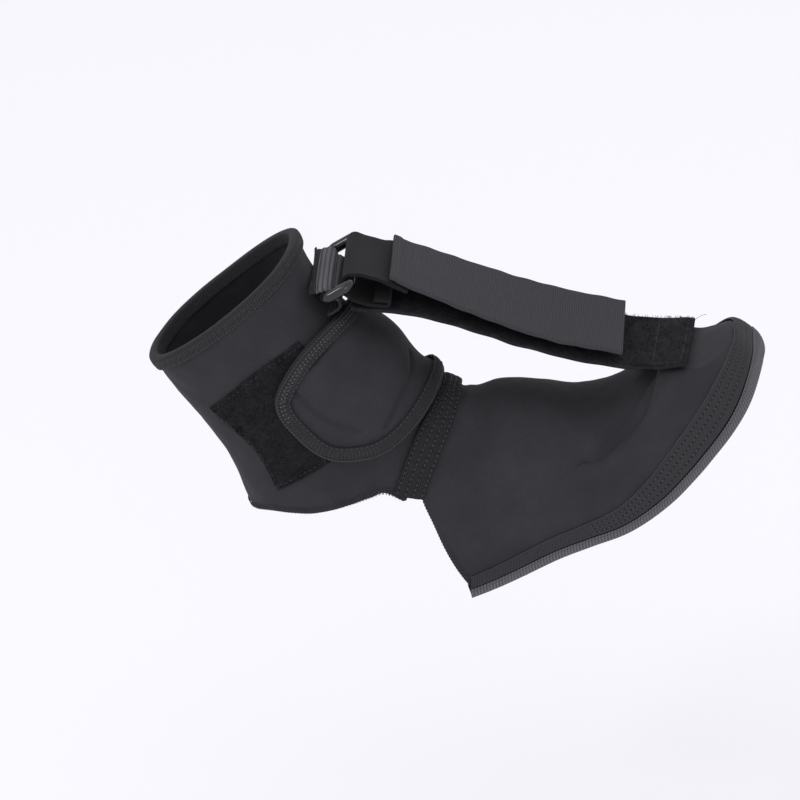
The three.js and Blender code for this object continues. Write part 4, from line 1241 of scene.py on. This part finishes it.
# the darker plain webbing on the keeper's two ends is painted shade, for the shadow beside the ring
keeper.data.materials.append(webbing)
keeper_uv = keeper.data.uv_layers["UVMap"].data
for face in keeper.data.polygons:
    height = keeper_uv[face.loop_start].uv.y * MM
    face.material_index = int(height < KEEPER_LOWER or height > keeper_length - KEEPER_FOOT)
keeper_sewn = sewn_line(keeper_grid, keeper_normals, KEEPER_STITCH_ROW, TRIM_WALL, "keeper")
grains("keeper_stitches", [keeper_sewn], overlock_thread, "webbing")

# %% [markdown]
# ## The straps
# The strap is three pieces sewn end to end: fuzzy loop webbing from the toes, a smooth stretch that goes
# through the ring, and the ribbed hook tab that lies back on the loops. Each is a band that follows one
# gentle line from the ring to the toes, a few millimetres above or below it.

# %% The line that the straps follow
TAB_WALL = 1.6 * MM
STRAP_DROP = 11.4 * MM
ANCHOR_AT = 0.895
ANCHOR_LENGTH = 15 * MM
SEWN_FROM = 6.5 * MM
# how far the sewn rows' edges stand up, and how stiff their near half stays at the first and last row
SEWN_EDGE = 1.6 * MM
SEWN_STIFF, SEWN_STIFF_LOSS = 0.9, 0.5
SMOOTH_OVERLAP = 15 * MM
TAB_OVERLAP = 9 * MM
LOOP_RUN = [
    # along, lift, roll in degrees
    (0.0, 0.0, 2), (0.1, 0.015, 3), (0.2, 0.028, 3), (0.32, 0.024, 4), (0.46, 0.014, 5), (0.66, 0.0, 6),
    (0.8, -0.002, 6), (0.92, 0.0, 4),
]
TAB_RUN = [
    (0.1, 0.122, 0), (0.196, 0.104, 1), (0.307, 0.086, 2), (0.466, 0.062, 4), (0.647, 0.044, 5),
    (0.763, 0.044, 5), (0.885, 0.046, 5),
]
SMOOTH_WALL = 1.4 * MM
SMOOTH_TOP = [(0.08, 0.048), (0.16, 0.026), (0.25, 0.0)]
SMOOTH_BELOW = [(-0.07, -0.095), (-0.03, -0.13), (0.02, -0.168), (0.09, -0.192)]
SMOOTH_FOLD = [(15.8, 1.1), (15.2, 2.2), (11.0, 2.4), (9.0, 2.3)]
run_start = outer_bar - np.array([0, 0, STRAP_DROP])
strap_seat = 2 * FIT + STRAP_WALL / 2
run_end = skin(ANCHOR_AT, 0.0, strap_seat)
run = run_end - run_start
run_length = np.linalg.norm(run)
run_up = unit(np.array([-run[2], 0, run[0]]))
strap_y = np.linspace(-STRAP_WIDTH / 2, STRAP_WIDTH / 2, 51)


def strap_row(table, along, above=0.0):
    lift = follow(table, 1, along) * run_length + above
    roll = np.radians(follow(table, 2, along))
    across = np.array([0, np.cos(roll), 0]) + run_up * np.sin(roll)
    return run_start + run * along + run_up * lift + strap_y[:, None] * across


def band_piece(name, rows, wall, count, slot, materials, node, flutter=0.0, seed=0, relief=None):
    """A band through rows of middle points, with its top side known from the first rows."""
    grid = smooth_rows(np.array(rows), count)
    normals = grid_normals(grid)
    if (normals[:4] @ run_up).mean() < 0:
        normals = -normals
    if relief is not None:
        grid = grid + normals * relief[:, None, None]
    if flutter:
        chance = np.random.default_rng(seed)
        length = np.linspace(0, 1, count)[:, None]
        width = np.linspace(-1, 1, grid.shape[1])
        sway = sum(np.cos(2 * np.pi * (f * length + chance.uniform(0, 1))) * width**p
                   for f, p in ((2.3, 1), (4.1, 2), (6.7, 3), (9.2, 2)))
        grid = grid + normals * (flutter * sway)[..., None]
    piece = cloth_sheet(name, grid, wall, offset=0.0, above=grid + normals * MM)
    return dress(piece, slot, materials, node), grid, normals


# %% Loop strap
loop_rows = [strap_row(LOOP_RUN, along) for along in np.linspace(0, LOOP_RUN[-1][0], 24)]
search_at = np.linspace(0.84, 0.985, 146)[:, None] + np.zeros(51)
search = skin(search_at, around_at(search_at, strap_y), strap_seat)
for distance in np.linspace(SEWN_FROM, ANCHOR_LENGTH, 4):
    across_x = search[:, 25, 0][np.argmin(np.abs(search_at[:, 25] - go_along(ANCHOR_AT, 0.0, distance)))]
    line_x = across_x + 0.08 * strap_y
    sewn_at = np.array([np.interp(line_x[k], search[:, k, 0], search_at[:, k]) for k in range(51)])
    stand = strap_seat + SEWN_EDGE * np.abs(strap_y / strap_y[-1]) ** 3
    sewn_row = skin(sewn_at, around_at(sewn_at, strap_y), stand)
    stiff = SEWN_STIFF - SEWN_STIFF_LOSS * distance / ANCHOR_LENGTH
    sewn_row[:, 2] += (sewn_row[25, 2] - sewn_row[:, 2]) * stiff * (strap_y < 0)
    loop_rows.append(sewn_row)
loop_piece, loop_grid, loop_normals = band_piece("loop_webbing", loop_rows, STRAP_WALL, 170, "loop_pile",
                                                 [strap_pile], "loop_strap", 0.15 * MM, 21)
count, at_edges = 6000, 700
spot_row, spot_column = rng.uniform(4, 168, count), rng.uniform(0, 50, count)
spot_row[:at_edges] = rng.uniform(0, 169, at_edges)
spot_column[:at_edges] = np.where(rng.uniform(size=at_edges) < 0.6, 0, 50)


def grid_spots(grid, rows, columns):
    r, c = rows.astype(int).clip(0, grid.shape[0] - 2), columns.astype(int).clip(0, grid.shape[1] - 2)
    fr, fc = (rows - r)[:, None], (columns - c)[:, None]
    return ((grid[r, c] * (1 - fr) + grid[r + 1, c] * fr) * (1 - fc)
            + (grid[r, c + 1] * (1 - fr) + grid[r + 1, c + 1] * fr) * fc)


loop_roots = grid_spots(loop_grid, spot_row, spot_column)
loop_ups = grid_spots(loop_normals, spot_row, spot_column)
fibres("loop_fibres", loop_roots + loop_ups * STRAP_WALL * 0.48, loop_ups, 0.9 * MM, strap_pile, "loop_pile",
       12)
# the box of stitches that holds the strap on the toes, as two rows and two columns of its grid
BOX = [(152, slice(2, -2)), (166, slice(2, -2)), (slice(152, 167), 2), (slice(152, 167), 48)]
sewn_lines = [sewn_line(loop_grid, loop_normals, line, STRAP_WALL, "strap box") for line in BOX]
# a loose end of thread stands up from the strap's corner, as in the photo
t = np.linspace(0, 1, 12)
tail = loop_grid[-1, -1] + np.stack([t * 4.5, -0.6 * t, 0.4 + 4.2 * t - 1.6 * t * t], -1) * MM
tail_ups = np.tile([0.0, -1.0, 0.2], (12, 1))
sewn_lines.append(running(tail, tail_ups, "thread end"))
grains("loop_strap_stitches", sewn_lines, overlock_thread, "loop_pile")

# %% Hook tab
tab_rows = [strap_row(TAB_RUN, along) for along in np.linspace(TAB_RUN[0][0], TAB_RUN[-1][0], 20)]
tab_length = (TAB_RUN[-1][0] - TAB_RUN[0][0]) * run_length
tab_hem = 0.5 * MM / (1 + np.exp((np.linspace(0, tab_length, 150) - 3.6 * MM) / (0.2 * MM)))
tab_piece, tab_grid, tab_normals = band_piece("hook_webbing", tab_rows, TAB_WALL, 150, "hook_webbing",
                                              [tab_weave], "hook_tab", 0.1 * MM, 22, tab_hem)
tab_lines = [sewn_line(tab_grid, tab_normals, (row, slice(1, -1)), TAB_WALL, "hook tab")
             for row in (4, 15, 17)]
grains("hook_tab_stitches", tab_lines, thread, "hook_webbing")

# %% Smooth strap
under_tab = -(TAB_WALL / 2 + 2 * FIT + STRAP_WALL / 2)
bar_wrap = RING_ROD / 2 + FIT + SMOOTH_WALL / 2


def beside_bar(right, up, roll=0.0):
    return np.stack([np.full(51, outer_bar[0] + right), strap_y, outer_bar[2] + up + strap_y * roll], -1)


smooth_list = [strap_row(TAB_RUN, TAB_RUN[0][0] + d / run_length, under_tab)
               for d in np.linspace(TAB_OVERLAP, 0, 5)]
smooth_list += [beside_bar(right * STRAP_WIDTH, up * STRAP_WIDTH, -0.03) for right, up in SMOOTH_TOP[::-1]]
smooth_list += [beside_bar(bar_wrap * math.cos(turn), bar_wrap * math.sin(turn))
                for turn in np.radians(np.linspace(78, 205, 10))]
smooth_list += [beside_bar(right * STRAP_WIDTH, up * STRAP_WIDTH) for right, up in SMOOTH_BELOW]
smooth_list += [strap_row(LOOP_RUN, d / run_length, STRAP_WALL + FIT)
                for d in np.linspace(SMOOTH_OVERLAP / 2, SMOOTH_OVERLAP, 4)]
smooth_list += [strap_row(LOOP_RUN, d * MM / run_length, STRAP_WALL + FIT + up * MM)
                for d, up in SMOOTH_FOLD]
smooth_piece, smooth_grid, _ = band_piece("smooth_webbing", smooth_list, SMOOTH_WALL, 150, "neoprene",
                                          [smooth_knit], "smooth_strap")
print("straps done, run of", round(run_length / MM), "mm")

# %% [markdown]


# %% [markdown]
# ## Floor, light and camera
# The splint was photographed as worn, off the floor, in an even white studio. A wide pale floor and a pale
# sky give that, and three weak soft lights shape the black cloth. A small fourth one, low on the left,
# draws the bright line on the ring's arm.

# %% Floor, light and camera
FLOOR_LEVEL = -220 * MM
floor_mesh = bmesh.new()
bmesh.ops.create_grid(floor_mesh, x_segments=2, y_segments=2, size=6.0,
                      matrix=Matrix.Translation((0, 0, FLOOR_LEVEL)))
floor = finish_piece("studio_floor", floor_mesh)
floor_paper, _, floor_shader = new_material("matt studio paper", 0.9, 0.1)
floor_shader.inputs["Base Color"].default_value = linear("#f8f8fb")
floor.data.materials.append(floor_paper)

world = bpy.data.worlds.new("studio sky")
bpy.context.scene.world = world
world.use_nodes = True
world.node_tree.nodes["Background"].inputs["Color"].default_value = linear("#fbfbfe")
world.node_tree.nodes["Background"].inputs["Strength"].default_value = 0.965


def soft_light(name, place, target, size, power):
    lamp = bpy.data.lights.new(name, "AREA")
    lamp.shape = "DISK"
    lamp.size = size
    lamp.energy = power
    piece = bpy.data.objects.new(name, lamp)
    piece.location = place
    piece.rotation_euler = (Vector(target) - Vector(place)).to_track_quat("-Z", "Y").to_euler()
    bpy.context.scene.collection.objects.link(piece)
    return piece


TARGET = (43.0 * MM, 0.0, 9.8 * MM)
# name, place, and side in metres, power in watts
LIGHTS = [
    ("key light", (-0.9, -0.7, 1.5), 1.2, 2.5),
    ("back light", (0.5, 1.2, 1.2), 1.0, 1),
    ("fill light", (0.4, -1.5, 0.35), 1.0, 3),
    ("ring light", (-0.7, -0.6, 0.72), 0.14, 0.8),
]
for name, place, size, power in LIGHTS:
    soft_light(name, place, TARGET, size, power)

AZIMUTH, ELEVATION, ROLL = math.radians(2.5), math.radians(22.5), math.radians(-0.8)
DISTANCE = 3.0
lens = bpy.data.cameras.new("photo camera")
lens.lens = 312
lens.sensor_width = 36
lens.clip_start = 0.05
camera = bpy.data.objects.new("photo camera", lens)
level = math.cos(ELEVATION)
back = Vector((math.sin(AZIMUTH) * level, -math.cos(AZIMUTH) * level, math.sin(ELEVATION)))
camera.location = Vector(TARGET) + back * DISTANCE
camera.rotation_euler = ((-back).to_track_quat("-Z", "Y") @ Quaternion((0, 0, 1), ROLL)).to_euler()
bpy.context.scene.collection.objects.link(camera)
bpy.context.scene.camera = camera
bpy.context.scene.view_settings.view_transform = "Standard"
